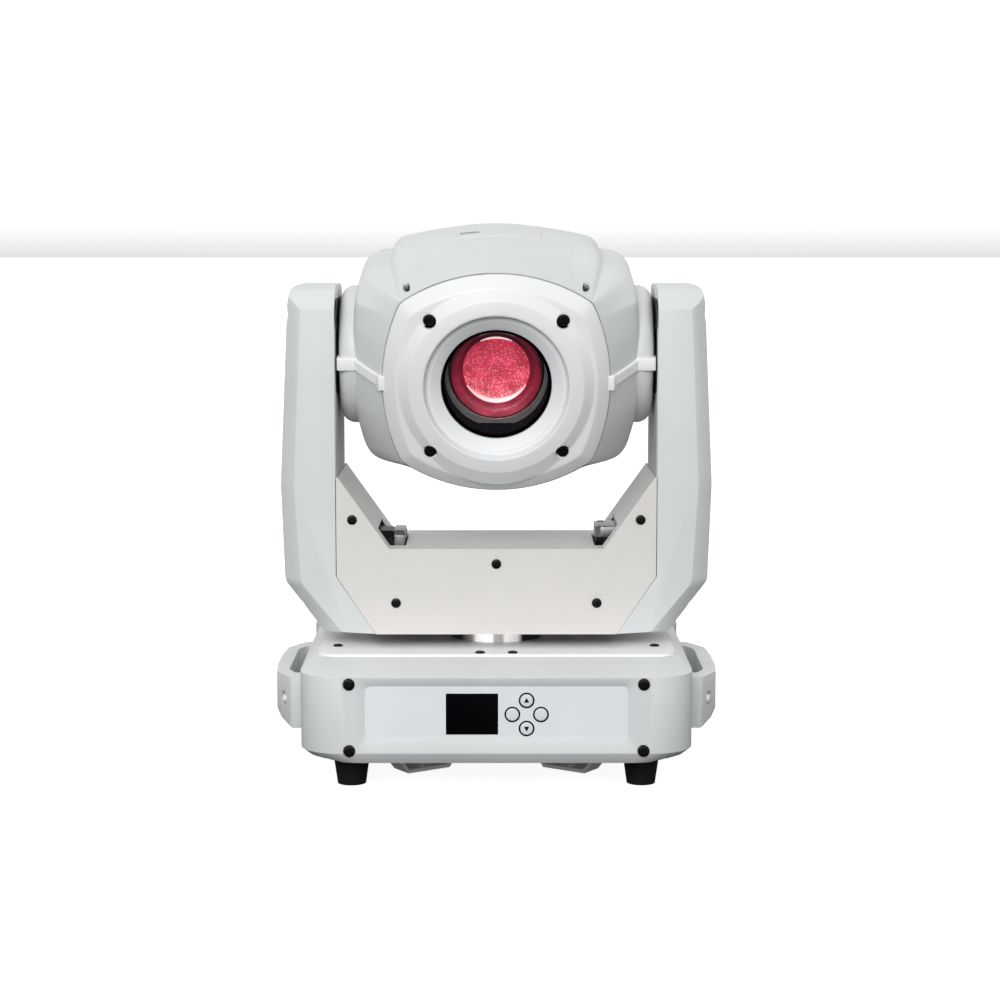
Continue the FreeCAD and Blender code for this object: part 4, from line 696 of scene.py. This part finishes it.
# Bezel from its back edge over the crown to the throat and back: radius on the axis through the
# sides, share of the four-arc outline in it, and how far forward.
BEZEL_PROFILE = (
    (86.0, 1.0, 95.8), (89.5, 1.0, 95.8), (90.1, 1.0, 96.3), (89.8, 1.0, 97.4), (80.6, 1.0, 105.4),
    (79.4, 1.0, 106.0), (78.2, 0.9, 106.2), (77.4, 0.1, 106.5), (76.6, 0.0, 107.0), (70.0, 0.0, 113.0),
    (68.8, 0.0, 113.7), (59.0, 0.0, 115.2), (57.6, 0.0, 115.0), (57.0, 0.0, 114.0), (55.6, 0.0, 109.0),
    (54.8, 0.0, 108.3), (53.4, 0.0, 108.1), (51.8, 0.0, 107.7), (45.2, 0.0, 103.4), (44.0, 0.0, 102.4),
    (43.5, 0.0, 98.0), (47.0, 0.0, 98.0), (52.0, 0.0, 104.0), (60.0, 0.0, 111.0), (70.0, 0.0, 107.5),
    (78.0, 1.0, 102.5))
GASKET_PROFILE = ((86.5, 1.0, 93.0), (90.8, 1.0, 94.6), (90.8, 1.0, 95.6), (86.5, 1.0, 95.9))
BEZEL_SCREW = 52.7                  # the screws' distance from the lens axis, across and up
BEZEL_SINK = 106.2


def make_bezel():
    """Front plate with four arched edges round a raised bowl, with sunk screws."""
    angles = around(288)
    quarter = np.arcsin(np.abs(np.sin(angles)))
    edge = plate_edge(np.linspace(0, 2, 400), BEZEL_PLATE)
    reach = np.interp(quarter, np.arctan2(edge[:, 1], edge[:, 0]), np.hypot(edge[:, 0], edge[:, 1]))
    plate = blurred(reach, 1.2) / BEZEL_PLATE[0]

    def swept(profile):
        rings = []
        for radius, share, forward in profile:
            foot = 0.05 * max(0, min(1, (radius - 70) / 7)) * (1 - share)
            chin = 1 + foot * np.clip(-np.sin(angles), 0, 1) ** 5
            out = radius * (1 - share + share * plate) * chin
            rings.append(np.stack([out * np.cos(angles), np.full_like(angles, forward),
                                   out * np.sin(angles) - BEZEL_DROP], -1))
        return looped(head_points(rings))

    body = softened(swept(BEZEL_PROFILE), 0.5, 2, 12)
    add_piece("bezel_gasket", swept(GASKET_PROFILE), "rubber", "head", material="gasket_rubber")
    places = [(x * BEZEL_SCREW, up * BEZEL_SCREW - BEZEL_DROP) for x in (-1, 1) for up in (-1, 1)]
    mesh = carve(body, [head_rod(x, up - 0.3, 5.9, BEZEL_SINK, 130) for x, up in places])
    add_piece("front_bezel", mesh, "bezel_plastic", "head", ["head_front_bezel"], crease=28)
    heads = [softened(head_rod(x, up, 4.7, 103, BEZEL_SINK + 1.4), 0.5) for x, up in places]
    sockets = [head_rod(x, up, 2.1, BEZEL_SINK + 0.3, 112, 6) for x, up in places]
    add_piece("bezel_screw_set", carve(combined(heads), sockets), "black_screw", "head",
              ["bezel_screws"])


def blurred(values, width):
    """Running weighted mean that rounds the corners of a closed sampled curve."""
    reach = int(3 * width) + 1
    weights = np.exp(-0.5 * (np.arange(-reach, reach + 1) / width) ** 2)
    return np.convolve(np.pad(values, reach, mode="wrap"), weights / weights.sum(), mode="valid")


VENT_PITCH = 9
VENT_HALF = 2


def make_rear_cover():
    """Vented plate that closes the back of the head."""
    edge = plate_edge(np.linspace(0, 2, 40), BACK_PLATE)
    loop = np.concatenate([edge, edge[-2::-1] * [-1, 1], edge[1:] * [-1, -1], edge[-2:0:-1] * [1, -1]])
    rings = []
    for forward, inset in ((-117, 3.6), (-123, 3.6), (-124.4, 5.2)):
        scale = 1 - inset / 82
        rings.append([(x * scale, forward, up * scale) for x, up in loop])
    plate = lofted(head_points(rings))
    slots = []
    for row in range(-5, 6):
        half = 46 - 1.1 * row**2
        middle = row * VENT_PITCH
        slots.append(head_block(rectangle(-half, -130, half, -110), middle - VENT_HALF, middle + VENT_HALF))
    add_piece("rear_cover", carve(plate, slots), "shell_plastic", "head", ["head_rear_cover"])


# ---------------------------------------------------------------- lens
def axis_turned(profile, steps=128):
    """A solid of revolution about the lens axis; profile is a closed loop of (forward, radius)."""
    return turned(profile, steps, lambda forward, x, up: head_points((x, forward, up - BEZEL_DROP)))


RIB_PITCH = 5
RIB_FOOT = 42.2
RIB_CREST = 41.2


def make_lens_barrel():
    """Black tube round the lens, ribbed inside, with a narrower stop at its back."""
    inner = [(101, 43.2)]
    for step in range(7):
        forward = 98 - RIB_PITCH * step
        inner += [(forward + 1.2, RIB_FOOT), (forward, RIB_CREST), (forward - 1.6, RIB_CREST),
                  (forward - 2.4, RIB_FOOT)]
    outer = [(62, 46.4), (94, 46.4), (97, 43.45), (101, 43.45)]
    mesh = axis_turned(inner + [(64, 40.6), (63, 37.0), (61.6, 37.0)] + outer)
    add_piece("lens_tube", mesh, "black_plastic", "head", ["lens_barrel"], material="lens_black")


LENS_EYE = 0.05                     # a lens's profile stops this far from the axis
GLASS_RADIUS = 41
GLASS_EDGE = 99.0


def make_front_glass():
    """Coated front lens, gently domed."""
    dome = [(GLASS_EDGE + 3.0 * (1 - (r / GLASS_RADIUS) ** 2), r)
            for r in np.linspace(GLASS_RADIUS, LENS_EYE, 14)]
    mesh = axis_turned(dome + [(96.0, LENS_EYE), (96.4, 28), (97.0, GLASS_RADIUS)])
    add_piece("front_glass", mesh, "lens_glass", "head", ["front_lens"], crease=60)


CELL_BACK = 40
CELL_GLASS = 47
CELL_MOUTH = 61
CELL_BORE = 27.2
GLINT_CRESCENT_ARCS = ((-152, -28, 3.2), (62, 118, 1.1))    # first and last angle in degrees, width


def make_focus_cell():
    """Red coated lens in a funnel-shaped cell, with two glowing crescents at its rim that paint in the rim's
    reflection.
    """
    funnel = [(CELL_MOUTH, 34.6), (CELL_MOUTH - 1.2, 34.0), (CELL_GLASS + 2, 30.2), (CELL_GLASS, 29.6),
              (CELL_GLASS, CELL_BORE), (CELL_BACK, CELL_BORE), (CELL_BACK, 31.5), (CELL_GLASS, 32.5),
              (CELL_MOUTH - 1, 36.4), (CELL_MOUTH, 36.2)]
    add_piece("focus_cell", axis_turned(funnel[::-1]), "lens_glass", "focus", material="coated_red")
    rim = CELL_BORE - 0.1
    dome = [(CELL_GLASS + 2.6 * (1 - (r / rim) ** 2), r) for r in np.linspace(rim, LENS_EYE, 16)]
    lens = axis_turned(dome + [(CELL_GLASS - 3, LENS_EYE), (CELL_GLASS - 3, rim)])
    add_piece("focus_glass", lens, "lens_glass", "focus", crease=60, material="ruby_glass")
    # painted reflection: bright crescents, wide below and thin above, shaped like a retaining spring
    arcs = []
    for start, end, width in GLINT_CRESCENT_ARCS:
        sections = []
        for share in np.linspace(0, 1, 40):
            a = math.radians(start + (end - start) * share)
            inner = CELL_BORE - width * max(math.sin(math.pi * share), 0.06) ** 0.6
            sections.append([(r * math.cos(a), forward, r * math.sin(a) - BEZEL_DROP)
                             for r, forward in ((CELL_BORE + 0.1, CELL_GLASS + 0.4),
                                                (CELL_BORE + 0.1, CELL_GLASS + 2.2),
                                                (inner, CELL_GLASS + 2.6), (inner, CELL_GLASS + 0.8))])
        arcs.append(lofted(head_points(sections)))
    add_piece("focus_spring", combined(arcs), "aluminium", "focus", material="bright_rim")


def make_label_pad():
    """Shallow raised pad on the crown, where a rating label would go."""
    across = np.linspace(-32, 37, 24)
    rings = []
    for forward in np.linspace(-36, 4, 18):
        section = shell_section(UPPER_OUTLINE, forward)
        order = np.argsort(section[:, 0])
        height = np.interp(across, section[order, 0], section[order, 1])
        over = [(x, forward, up + 0.5) for x, up in zip(across, height)]
        under = [(x, forward, up - 0.8) for x, up in zip(across[::-1], height[::-1])]
        rings.append(over + under)
    pad = lofted(head_points(rings))
    slot = head_block(round_corners(rectangle(*CROWN_SLOT), 1.5), 90, 115)
    add_piece("crown_pad", carve(softened(pad, 0.3, 2, 40), [slot]), "shell_plastic", "head")


# ---------------------------------------------------------------- yoke
ARM_DEPTH = 58
ARM_OUTLINE = (     # x and height round the right arm cover, from the foot outwards, corner radius
    (98.9, 115.8, 0.6), (141.5, 115.6, 3), (173.5, 158, 12), (176.4, 238, 60), (169.6, 386, 40),
    (166.5, 400, 9), (131.0, 400, 1), (131.0, 163.2, 0.6))
ARM_CHAMFER = (0, 15, 14, 12, 12, 12, 0, 0)
ARM_PROFILE = (     # depth and height, the side view of an arm
    (-58, 115), (58, 115), (58, 381), (40, 396.5), (26, 400), (-26, 400), (-40, 396.5), (-58, 381))
ARM_SCREWS = ((169.0, 376.0), (158.0, 137.0))      # x and height
ARM_SCREW_Y = 34
ARM_SEAT_DEPTH = 3.5
ARM_FOOT = 120                      # outline points below and above these heights also move up
ARM_CROWN = 390                     # and down as the outline is drawn in
CHAMFER_RISE = 2
CHAMFER_FALL = 1.5


def arm_ring(side, y, inset):
    """The arm outline at one depth, drawn in along its outer edges."""
    corners = []
    for (x, z, _), amount in zip(ARM_OUTLINE, ARM_CHAMFER):
        if amount and z < ARM_FOOT:
            z += inset * CHAMFER_RISE
        if amount and z > ARM_CROWN:
            z -= inset * CHAMFER_FALL
        corners.append((x - inset * amount, z))
    loop = round_corners(corners, [radius for _, _, radius in ARM_OUTLINE], 8)
    return [(side * x, y, z) for x, z in loop]


def make_arm(side, word):
    """Moulded arm cover: bevelled outer edges, a break across the top, scooped screw seats."""
    rings = [arm_ring(side, y, inset) for y, inset in (
        (-ARM_DEPTH, 1.0), (-ARM_DEPTH + 4, 0.62), (-46, 0.05), (-43, 0), (43, 0), (46, 0.05),
        (ARM_DEPTH - 4, 0.62), (ARM_DEPTH, 1.0))]
    body = lofted(rings)
    side_view = polygon_prism(ARM_PROFILE, side * 90, side * 190, "X")
    body = carve(body, [side_view], "INTERSECT")
    body = softened(body, 0.9, 3, 18)
    cuts = []
    for x, z in ARM_SCREWS:
        for end in (-1, 1):
            cuts.append(scoop(side * (x + 4.5), end * 40, z))
            cuts.append(polygon_prism(circle((end * ARM_SCREW_Y, z), 3.4),
                                      side * (x - ARM_SEAT_DEPTH), side * (x + 30), "X"))
    cuts.append(polygon_prism(circle((0, TILT_Z), 34, 64), side * 120, side * 136, "X"))
    body = carve(body, cuts)
    add_piece(f"arm_skin_{word}", body, "shell_plastic", "yoke", [f"arm_cover_{word}"], crease=26)


def scoop(x, y, z, radius=8.0):
    """A ball-shaped cutter, a little flat at its poles."""
    rings = []
    steepest = math.pi / 2 - 0.12
    for tilt in np.linspace(-steepest, steepest, 15):
        rim = circle((x, y), radius * math.cos(tilt), 28)
        rings.append([(u, v, z + radius * math.sin(tilt)) for u, v in rim])
    return lofted(rings)


def make_seam_shade_strip(side, word):
    """Dark strip in the joint between the sheet-metal covers and an arm, put there as painted shade for the
    gap.
    """
    path = [(130.45, 243.5), (130.45, 163.1), (98.5, 115.9), (98.95, 115.9), (131.0, 163.2),
            (131.0, 243.5)]
    # painted shade: black strips where the joint's gap is in shadow
    ends = [polygon_prism([(side * x, z) for x, z in path], low, low + 2.4, "Y")
            for low in (-57.8, 55.4)]
    add_piece(f"seam_shade_strip_{word}", combined(ends), "rubber", "yoke")


def make_underside_shade():
    """Dark plate under the yoke's floor, round the pan bearing, put there as painted shade to darken the deck
    under the yoke.
    """
    # painted shade: a black sheet for the shadow under the yoke
    plate = polygon_prism(rectangle(-97.5, -57, 97.5, 57), 115.7, 116.3)
    hole = polygon_prism(circle((0, 0), 24, 64), 110, 120)
    add_piece("yoke_underside", carve(plate, [hole]), "black_plastic", "yoke")


COVER_SCREWS = ((0, 173.7), (-117.5, 210), (117.5, 210), (-82, 141.5), (82, 141.5))
YOKE_FACE = 58


def domed_screw(place, axis, way, radius=4.0, rise=1.5):
    """Socket-headed screw on a face: place is where its axis meets the face."""
    profile = [(-3, NEAR_AXIS), (-3, radius), (rise * 0.35, radius), (rise * 0.8, radius * 0.88),
               (rise, radius * 0.66), (rise, 0.45 * radius), (rise * 0.3, 0.4 * radius),
               (rise * 0.3, NEAR_AXIS)]

    def to_row(out, across, up):
        along = way * out
        step = {"X": (along, across, up), "Y": (across, along, up), "Z": (across, up, along)}[axis]
        return [start + move for start, move in zip(place, step)]

    return turned(profile, 36, to_row)


def make_yoke_screws():
    """Black screws in both covers, and smaller ones at the bottom of the scoops in the arms."""
    heads = [domed_screw((x, way * YOKE_FACE, z), "Y", way) for way in (-1, 1) for x, z in COVER_SCREWS]
    for x, z in ARM_SCREWS:
        heads += [domed_screw((side * (x - ARM_SEAT_DEPTH), end * ARM_SCREW_Y, z), "X", side, 2.6, 1.2)
                  for side, _ in SIDES for end in (-1, 1)]
    add_piece("yoke_screw_heads", combined(heads), "black_screw", "yoke", ["yoke_screws"])


def make_hub_shroud(side, word):
    """Black plate behind the tilt bearing, seen between the arm and the head."""
    outline = round_corners(rectangle(-50, 311, 50, 389), 16, 8)
    plate = polygon_prism(outline, side * 129.8, side * 130.5, "X")
    bumps = []
    for y in (-44, 44):
        for z in (330, 342, 366):
            bumps.append(polygon_prism(circle((y, z), 3.2, 6), side * 129.2, side * 130, "X"))
    add_piece(f"hub_shroud_{word}", combined([plate] + bumps), "black_plastic", "yoke")


MOTOR_SIZE = 42.0
BELL_LENGTH = 9
SHEET_PITCH = 2.3
MOTOR_SCREW = 15.5                  # distance of the corner screws from the axis, both ways
MOTORS = {"tilt": ((-103, 0, 175), "X"), "pan": ((103.5, 0, 172.5), "Z")}
MOTOR_LENGTH = 53.7


def stepper(centre, axis):
    """Square stepping motor: laminated middle between two end bells, with corner screws."""
    place = {"X": lambda a, b, w: (centre[0] + w, centre[1] + a, centre[2] + b),
             "Z": lambda a, b, w: (centre[0] + a, centre[1] + b, centre[2] + w)}[axis]
    half = MOTOR_SIZE / 2

    def block(width, cut, low, high):
        corners = [(-width, -width + cut), (-width + cut, -width), (width - cut, -width),
                   (width, -width + cut), (width, width - cut), (width - cut, width),
                   (-width + cut, width), (-width, width - cut)]
        return lofted([[place(a, b, w) for a, b in corners] for w in (low, high)])

    low, high = -MOTOR_LENGTH / 2, MOTOR_LENGTH / 2
    bells = [softened(block(half, 4, low, low + BELL_LENGTH), 0.7),
             softened(block(half, 4, high - BELL_LENGTH, high), 0.7)]
    sheets = []
    for row in range(int((MOTOR_LENGTH - 2 * BELL_LENGTH) / SHEET_PITCH)):
        start = low + BELL_LENGTH + row * SHEET_PITCH
        sheets.append(block(half - 0.5, 5.5, start, start + SHEET_PITCH * 0.78))
    core = block(half - 1.2, 6, low + BELL_LENGTH - 1, high - BELL_LENGTH + 1)
    screws = []
    for a in (-MOTOR_SCREW, MOTOR_SCREW):
        for b in (-MOTOR_SCREW, MOTOR_SCREW):
            rim = circle((a, b), 2.6, 20)
            screws += [lofted([[place(u, v, w) for u, v in rim] for w in ends])
                       for ends in ((low - 0.6, low + 3), (high - 3, high + 0.6))]
    return combined(bells + screws), combined(sheets + [core])


def make_motors():
    for word, (centre, axis) in MOTORS.items():
        bells, stack = stepper(centre, axis)
        add_piece(f"{word}_motor_bells", bells, "motor_metal", "yoke", [f"{word}_motor"])
        add_piece(f"{word}_motor_stack", stack, "motor_metal", "yoke", material="dark_steel")


# ---------------------------------------------------------------- base
def rounded_rect(half_x, half_y, radius, z, steps=10):
    """A level rectangle round the middle of the base, with quarter arcs at its corners."""
    points = []
    for x, y, start in ((-1, -1, 180), (1, -1, 270), (1, 1, 0), (-1, 1, 90)):
        middle_x, middle_y = x * (half_x - radius), y * (half_y - radius)
        for angle in np.linspace(start, start + 90, steps):
            a = math.radians(angle)
            points.append((middle_x + radius * math.cos(a), middle_y + radius * math.sin(a), z))
    return points


def window(low_x, high_x, low_z, high_z, radius):
    """A rounded rectangle in the front plane, as (x, z)."""
    return round_corners(rectangle(low_x, low_z, high_x, high_z), radius, 8)


STUDS = ((-96.3, -73.5), (-26.7, -26.5), (26.7, -26.5), (96.3, -73.5))
BASE_HALF_WIDTH = 157
BASE_HALF_DEPTH = 132
PANEL_WINDOW = (-104, 104, 45.6, 86.8, 5)
PANEL_FRAME = (-110.5, 110.5, 34.8, 92.6, 9)
FRAME_MOUTH = (-112.3, 112.3, 31.0, 94.4, 10)
PANEL_SCREWS = tuple((x, z) for x in (-116.4, 116.4) for z in (88.6, 35.1))
PANEL_FACE = -129.1                 # front of the overlay sheet, just behind its window
DECK_TOP = 105
HOOD_Y = 114                        # middle of the wide block along the back


def make_base_shell():
    """Moulded base: chamfered foot, upright walls, sloping shoulders and a sunk panel frame."""
    outer = [rounded_rect(151, 127.5, 44, 24.5), rounded_rect(BASE_HALF_WIDTH, BASE_HALF_DEPTH, 33, 33.0),
             rounded_rect(BASE_HALF_WIDTH, BASE_HALF_DEPTH, 32, 94.5), rounded_rect(147, 92.5, 17, 103)]
    inner = [rounded_rect(148, 124.5, 41, 20), rounded_rect(154, 129, 30, 33), rounded_rect(154, 129, 30, 92),
             rounded_rect(141, 86, 12, 100.5), rounded_rect(136, 81, 12, 110)]
    hood = lofted([[(x * s, y + HOOD_Y, z) for x, y, _ in rounded_rect(161, 18, 14, 0)]
                   for z, s in ((60, 0.985), (64, 1), (96, 1), (102.5, 0.97))])
    body = carve(lofted(outer), [hood], "UNION")
    body = softened(body, 1.6, 3, 15)
    frame_cut = []
    for y, (low_x, high_x, low_z, high_z, radius) in (
            (-BASE_HALF_DEPTH - 2, FRAME_MOUTH), (-BASE_HALF_DEPTH, PANEL_FRAME),
            (PANEL_FACE - 0.1, PANEL_WINDOW), (-120, PANEL_WINDOW)):
        frame_cut.append([(x, y, z) for x, z in window(low_x, high_x, low_z, high_z, radius)])
    rear_window = polygon_prism(window(-108, 108, 37, 87, 3), 124, 140, "Y")
    cuts = [lofted(inner), lofted(frame_cut), rear_window]
    cuts += [polygon_prism(circle(spot, 5.2), -140, -131.2, "Y") for spot in PANEL_SCREWS]
    add_piece("base_skin", carve(body, cuts), "shell_plastic", "base", ["base_shell"], crease=26)
    plate = lofted([rounded_rect(147.8, 124.3, 41, z) for z in (25.2, 26.4)])
    studs = [circle((x, y), 4.6) for x, y in STUDS]
    plate = carve(plate, [polygon_prism(rim, 20, 30) for rim in studs])
    add_piece("base_floor", softened(plate, 0.3, 2), "white_sheet", "base", ["base_bottom_plate"])


DECK_SCREWS = ((130, 53), (13.2, 83.5))
GRIP_SCREW = (173, 67, 64)


def make_base_screws():
    """Screws of the shell, the deck and the handles."""
    heads = []
    for x, z in PANEL_SCREWS:
        heads += [domed_screw((x, -BASE_HALF_DEPTH + 0.4, z), "Y", -1, 4.7, 1.6),
                  domed_screw((x, BASE_HALF_DEPTH, z), "Y", 1, 4.6, 1.5)]
    for x, y in DECK_SCREWS:
        heads += [domed_screw((across * x, along * y, DECK_TOP), "Z", 1, 4.0, 1.4)
                  for across in (-1, 1) for along in (-1, 1)]
    add_piece("base_screw_heads", combined(heads), "black_screw", "base", ["base_screws"])
    x, y, z = GRIP_SCREW
    for side, word in SIDES:
        grips = [domed_screw((side * x, end * y, z), "X", side, 3.6, 1.4) for end in (-1, 1)]
        add_piece(f"grip_screw_pair_{word}", combined(grips), "key_plastic", "base")


HUB_BORE = 12.2
HUB_TUBE = 19.4


def make_pan_hub():
    """Turned collar between the deck and the yoke, bright with painted reflections, and its lock nut."""
    foot = DECK_TOP + 0.02
    tube = [(97.5, HUB_BORE), (97.5, 34), (102.6, 34), (102.6, HUB_TUBE), (145, HUB_TUBE), (145, HUB_BORE)]
    collar = [(foot, HUB_TUBE + 0.1), (foot, 38.4), (114.4, 38.4), (114.9, 37.9), (114.9, HUB_TUBE + 0.1)]
    nut = [(141.6, HUB_TUBE + 0.1), (141.6, 23), (144.8, 23), (144.8, HUB_TUBE + 0.1)]
    rings = [turned(profile, 96, lambda z, x, y: (x, y, z)) for profile in (tube, collar, nut)]
    # its finish has painted reflection stripes that glow
    add_piece("pan_collar", combined(rings), "shaft_steel", "base", ["pan_shaft"],
              material="bright_steel")


DISPLAY = (-40.0, 1.4, 47.8, 80.9)
KEY_HOLE = 5.15
KEY_FACE = -130.0
KEYS = {"up": (23.9, 75.4), "menu": (12.6, 64.1), "down": (23.9, 52.8), "enter": (35.2, 64.1)}


def make_panel():
    """Printed overlay with a glass display and four ringed keys."""
    plate = polygon_prism(window(-107, 107, 42.6, 89.8, 6), PANEL_FACE, -127.4, "Y")
    holes = [polygon_prism(window(*DISPLAY, 0.6), -135, -120, "Y")]
    holes += [polygon_prism(circle(spot, KEY_HOLE), -135, -120, "Y") for spot in KEYS.values()]
    add_piece("panel_overlay_sheet", carve(plate, holes), "panel_overlay", "base", ["control_panel"])
    low_x, high_x, low_z, high_z = DISPLAY
    glass = polygon_prism(window(low_x + 0.1, high_x - 0.1, low_z + 0.1, high_z - 0.1, 0.6),
                          PANEL_FACE + 0.1, -125, "Y")
    add_piece("display_glass", softened(glass, 0.25), "screen", "base", ["display"])
    rings = []
    for spot in KEYS.values():
        ring = polygon_prism(circle(spot, 6.3, 48), PANEL_FACE - 0.15, PANEL_FACE + 0.05, "Y")
        rings.append(carve(ring, [polygon_prism(circle(spot, KEY_HOLE, 48), -131, -128, "Y")]))
    add_piece("key_rings", combined(rings), "screen", "base")
    profile = [(-126, 5.0), (-129.4, 5.0), (-129.8, 4.7), (KEY_FACE, 3.6), (KEY_FACE, NEAR_AXIS),
               (-126, NEAR_AXIS)]
    for name, (x, z) in KEYS.items():
        cap = turned(profile, 48, lambda y, across, up: (x + across, y, z + up))
        add_piece(f"key_cap_{name}", cap, "key_plastic", f"key_{name}", [f"button_{name}"])
    for name, flip in (("up", 1), ("down", -1)):
        x, z = KEYS[name]
        arrow = [(x - 2.1, z - 1.6 * flip), (x + 2.1, z - 1.6 * flip), (x, z + 2.2 * flip)]
        add_piece(f"key_arrow_{name}", polygon_prism(arrow, KEY_FACE - 0.1, KEY_FACE + 0.1, "Y"),
                  "screen", f"key_{name}")


HANDLE_LOW = 42
HANDLE_TOP = 84
HANDLE_PLAN = ((150, -79, 1), (167, -79, 5), (180.5, -54, 8), (182.8, -20, 40), (182.8, 20, 40),
               (180.5, 54, 8), (167, 79, 5), (150, 79, 1))
HANDLE_GAP = ((156.5, -59), (165, -59), (171, -44), (171, 44), (165, 59), (156.5, 59))
HANDLE_FRONT_VIEW = ((148, 42), (166, 42), (176, 47), (182.8, 57), (182.8, 84), (148, 84))


def make_handle(side, word):
    """Moulded carrying handle: a bowed grip that stands off the side of the base."""
    plan = round_corners([(side * x, y) for x, y, _ in HANDLE_PLAN], [r for _, _, r in HANDLE_PLAN], 8)
    body = polygon_prism(plan, HANDLE_LOW, HANDLE_TOP, "Z")
    view = polygon_prism([(side * x, z) for x, z in HANDLE_FRONT_VIEW], -90, 90, "Y")
    body = softened(carve(body, [view], "INTERSECT"), 2.2, 3, 24)
    gap = round_corners([(side * x, y) for x, y in HANDLE_GAP], 3, 6)
    cuts = [polygon_prism(gap, 30, 90, "Z"),
            polygon_prism(rectangle(side * 140, -90, side * 157.4, 90), 30, 90, "Z")]
    for end in (-1, 1):
        out_x, out_y = side * 0.86, end * 0.51
        rims = [[(side * 176.5 + out_x * reach - out_y * u, end * 68 + out_y * reach + out_x * u, 64 + v)
                 for u, v in ((5.2 * math.cos(a), 6.4 * math.sin(a)) for a in around(32))]
                for reach in (-7, 12)]
        cuts.append(lofted(rims))
    add_piece(f"handle_{word}", carve(body, cuts), "shell_plastic", "base",
              ["side_handles"] if side < 0 else (), crease=26)


# ---------------------------------------------------------------- carried-over nodes
def dress_nodes():
    """Give every frame node the material of its slot, and the deck a lighter copy of its coat, painted light
    that lifts the shade under the yoke.
    """
    for part in frame["record"]["subparts"]:
        node = frame["nodes"][part["node"]]
        node.data.materials.clear()
        node.data.materials.append(MATERIALS[part["material_slot"]])
    frame["nodes"]["base_top_plate"].data.materials[0] = MATERIALS["deck_coat"]


# ---------------------------------------------------------------- set
def make_floor():
    bpy.ops.mesh.primitive_plane_add(size=60)
    floor = bpy.context.object
    floor.name = "floor"
    paint = Shader("floor_paint", (0.4, 0.4, 0.4), 0.9)
    paint.set("Emission Color", (1, 1, 1, 1))
    paint.set("Emission Strength", 0.9)
    paint.bump(paint.noise(40, 2), 0.02)
    floor.data.materials.append(paint.material)
    floor.visible_diffuse = False
    floor.visible_glossy = False


# Places from straight down (0) to straight up (1), and the surround's colour there.
SKY_STOPS = ((0.38, (0.06, 0.062, 0.065)), (0.485, 0.42), (0.5, 0.92),
             (0.56, 0.97), (0.65, 0.98), (0.82, 0.72),
             (1.0, 0.6))
SKY_AHEAD = 1.12                    # brightness in front and behind, and out at the sides
SKY_ASIDE = 0.70


def make_sky():
    """Soft studio surround: white above, dimmer below the floor line and at the sides."""
    world = bpy.data.worlds.new("studio")
    bpy.context.scene.world = world
    world.use_nodes = True
    nodes, links = world.node_tree.nodes, world.node_tree.links
    place = nodes.new("ShaderNodeTexCoord")
    split = nodes.new("ShaderNodeSeparateXYZ")
    ramp = nodes.new("ShaderNodeValToRGB")
    stretch = nodes.new("ShaderNodeMapRange")
    stretch.inputs["From Min"].default_value = -1
    stretch.inputs["From Max"].default_value = 1
    links.new(place.outputs["Generated"], split.inputs[0])
    links.new(split.outputs["Z"], stretch.inputs["Value"])
    links.new(stretch.outputs["Result"], ramp.inputs["Fac"])
    links.new(ramp.outputs["Color"], nodes["Background"].inputs["Color"])
    fill_ramp(ramp.color_ramp.elements, SKY_STOPS)
    square = nodes.new("ShaderNodeMath")
    square.operation = "MULTIPLY"
    sides = nodes.new("ShaderNodeMapRange")
    sides.inputs["To Min"].default_value = SKY_AHEAD
    sides.inputs["To Max"].default_value = SKY_ASIDE
    for socket in square.inputs[:2]:
        links.new(split.outputs["X"], socket)
    links.new(square.outputs["Value"], sides.inputs["Value"])
    links.new(sides.outputs["Result"], nodes["Background"].inputs["Strength"])


def make_softbox(name, place, target, size, power):
    data = bpy.data.lights.new(name, "AREA")
    data.shape = "RECTANGLE"
    data.size, data.size_y = size
    data.energy = power
    lamp = bpy.data.objects.new(name, data)
    bpy.context.scene.collection.objects.link(lamp)
    lamp.location = place
    lamp.rotation_euler = (Vector(target) - Vector(place)).to_track_quat("-Z", "Y").to_euler()


CAMERA_PLACE = (0, -1.89, 0.448)
CAMERA_PITCH = -6.9
CAMERA_YAW = -0.093
CAMERA_LENS = 81.7


def make_camera():
    data = bpy.data.cameras.new("camera")
    data.sensor_width = 36
    data.lens = CAMERA_LENS
    camera = bpy.data.objects.new("camera", data)
    bpy.context.scene.collection.objects.link(camera)
    camera.location = CAMERA_PLACE
    camera.rotation_euler = (math.radians(90 + CAMERA_PITCH), 0, math.radians(CAMERA_YAW))
    bpy.context.scene.camera = camera


def make_set():
    make_floor()
    make_sky()
    make_softbox("key", (-0.4, -2.2, 1.25), (0, 0, 0.25), (1.4, 0.9), 29)
    make_camera()
    bpy.context.scene.view_settings.view_transform = "Standard"


dress_nodes()
make_head_shells()
make_cheeks()
make_side_trims()
make_bezel()
make_rear_cover()
make_lens_barrel()
make_front_glass()
make_focus_cell()
make_label_pad()
for side, word in SIDES:
    make_arm(side, word)
    make_hub_shroud(side, word)
    make_seam_shade_strip(side, word)
make_yoke_screws()
make_underside_shade()
make_motors()
make_base_shell()
make_base_screws()
make_pan_hub()
make_panel()
for side, word in SIDES:
    make_handle(side, word)
make_set()
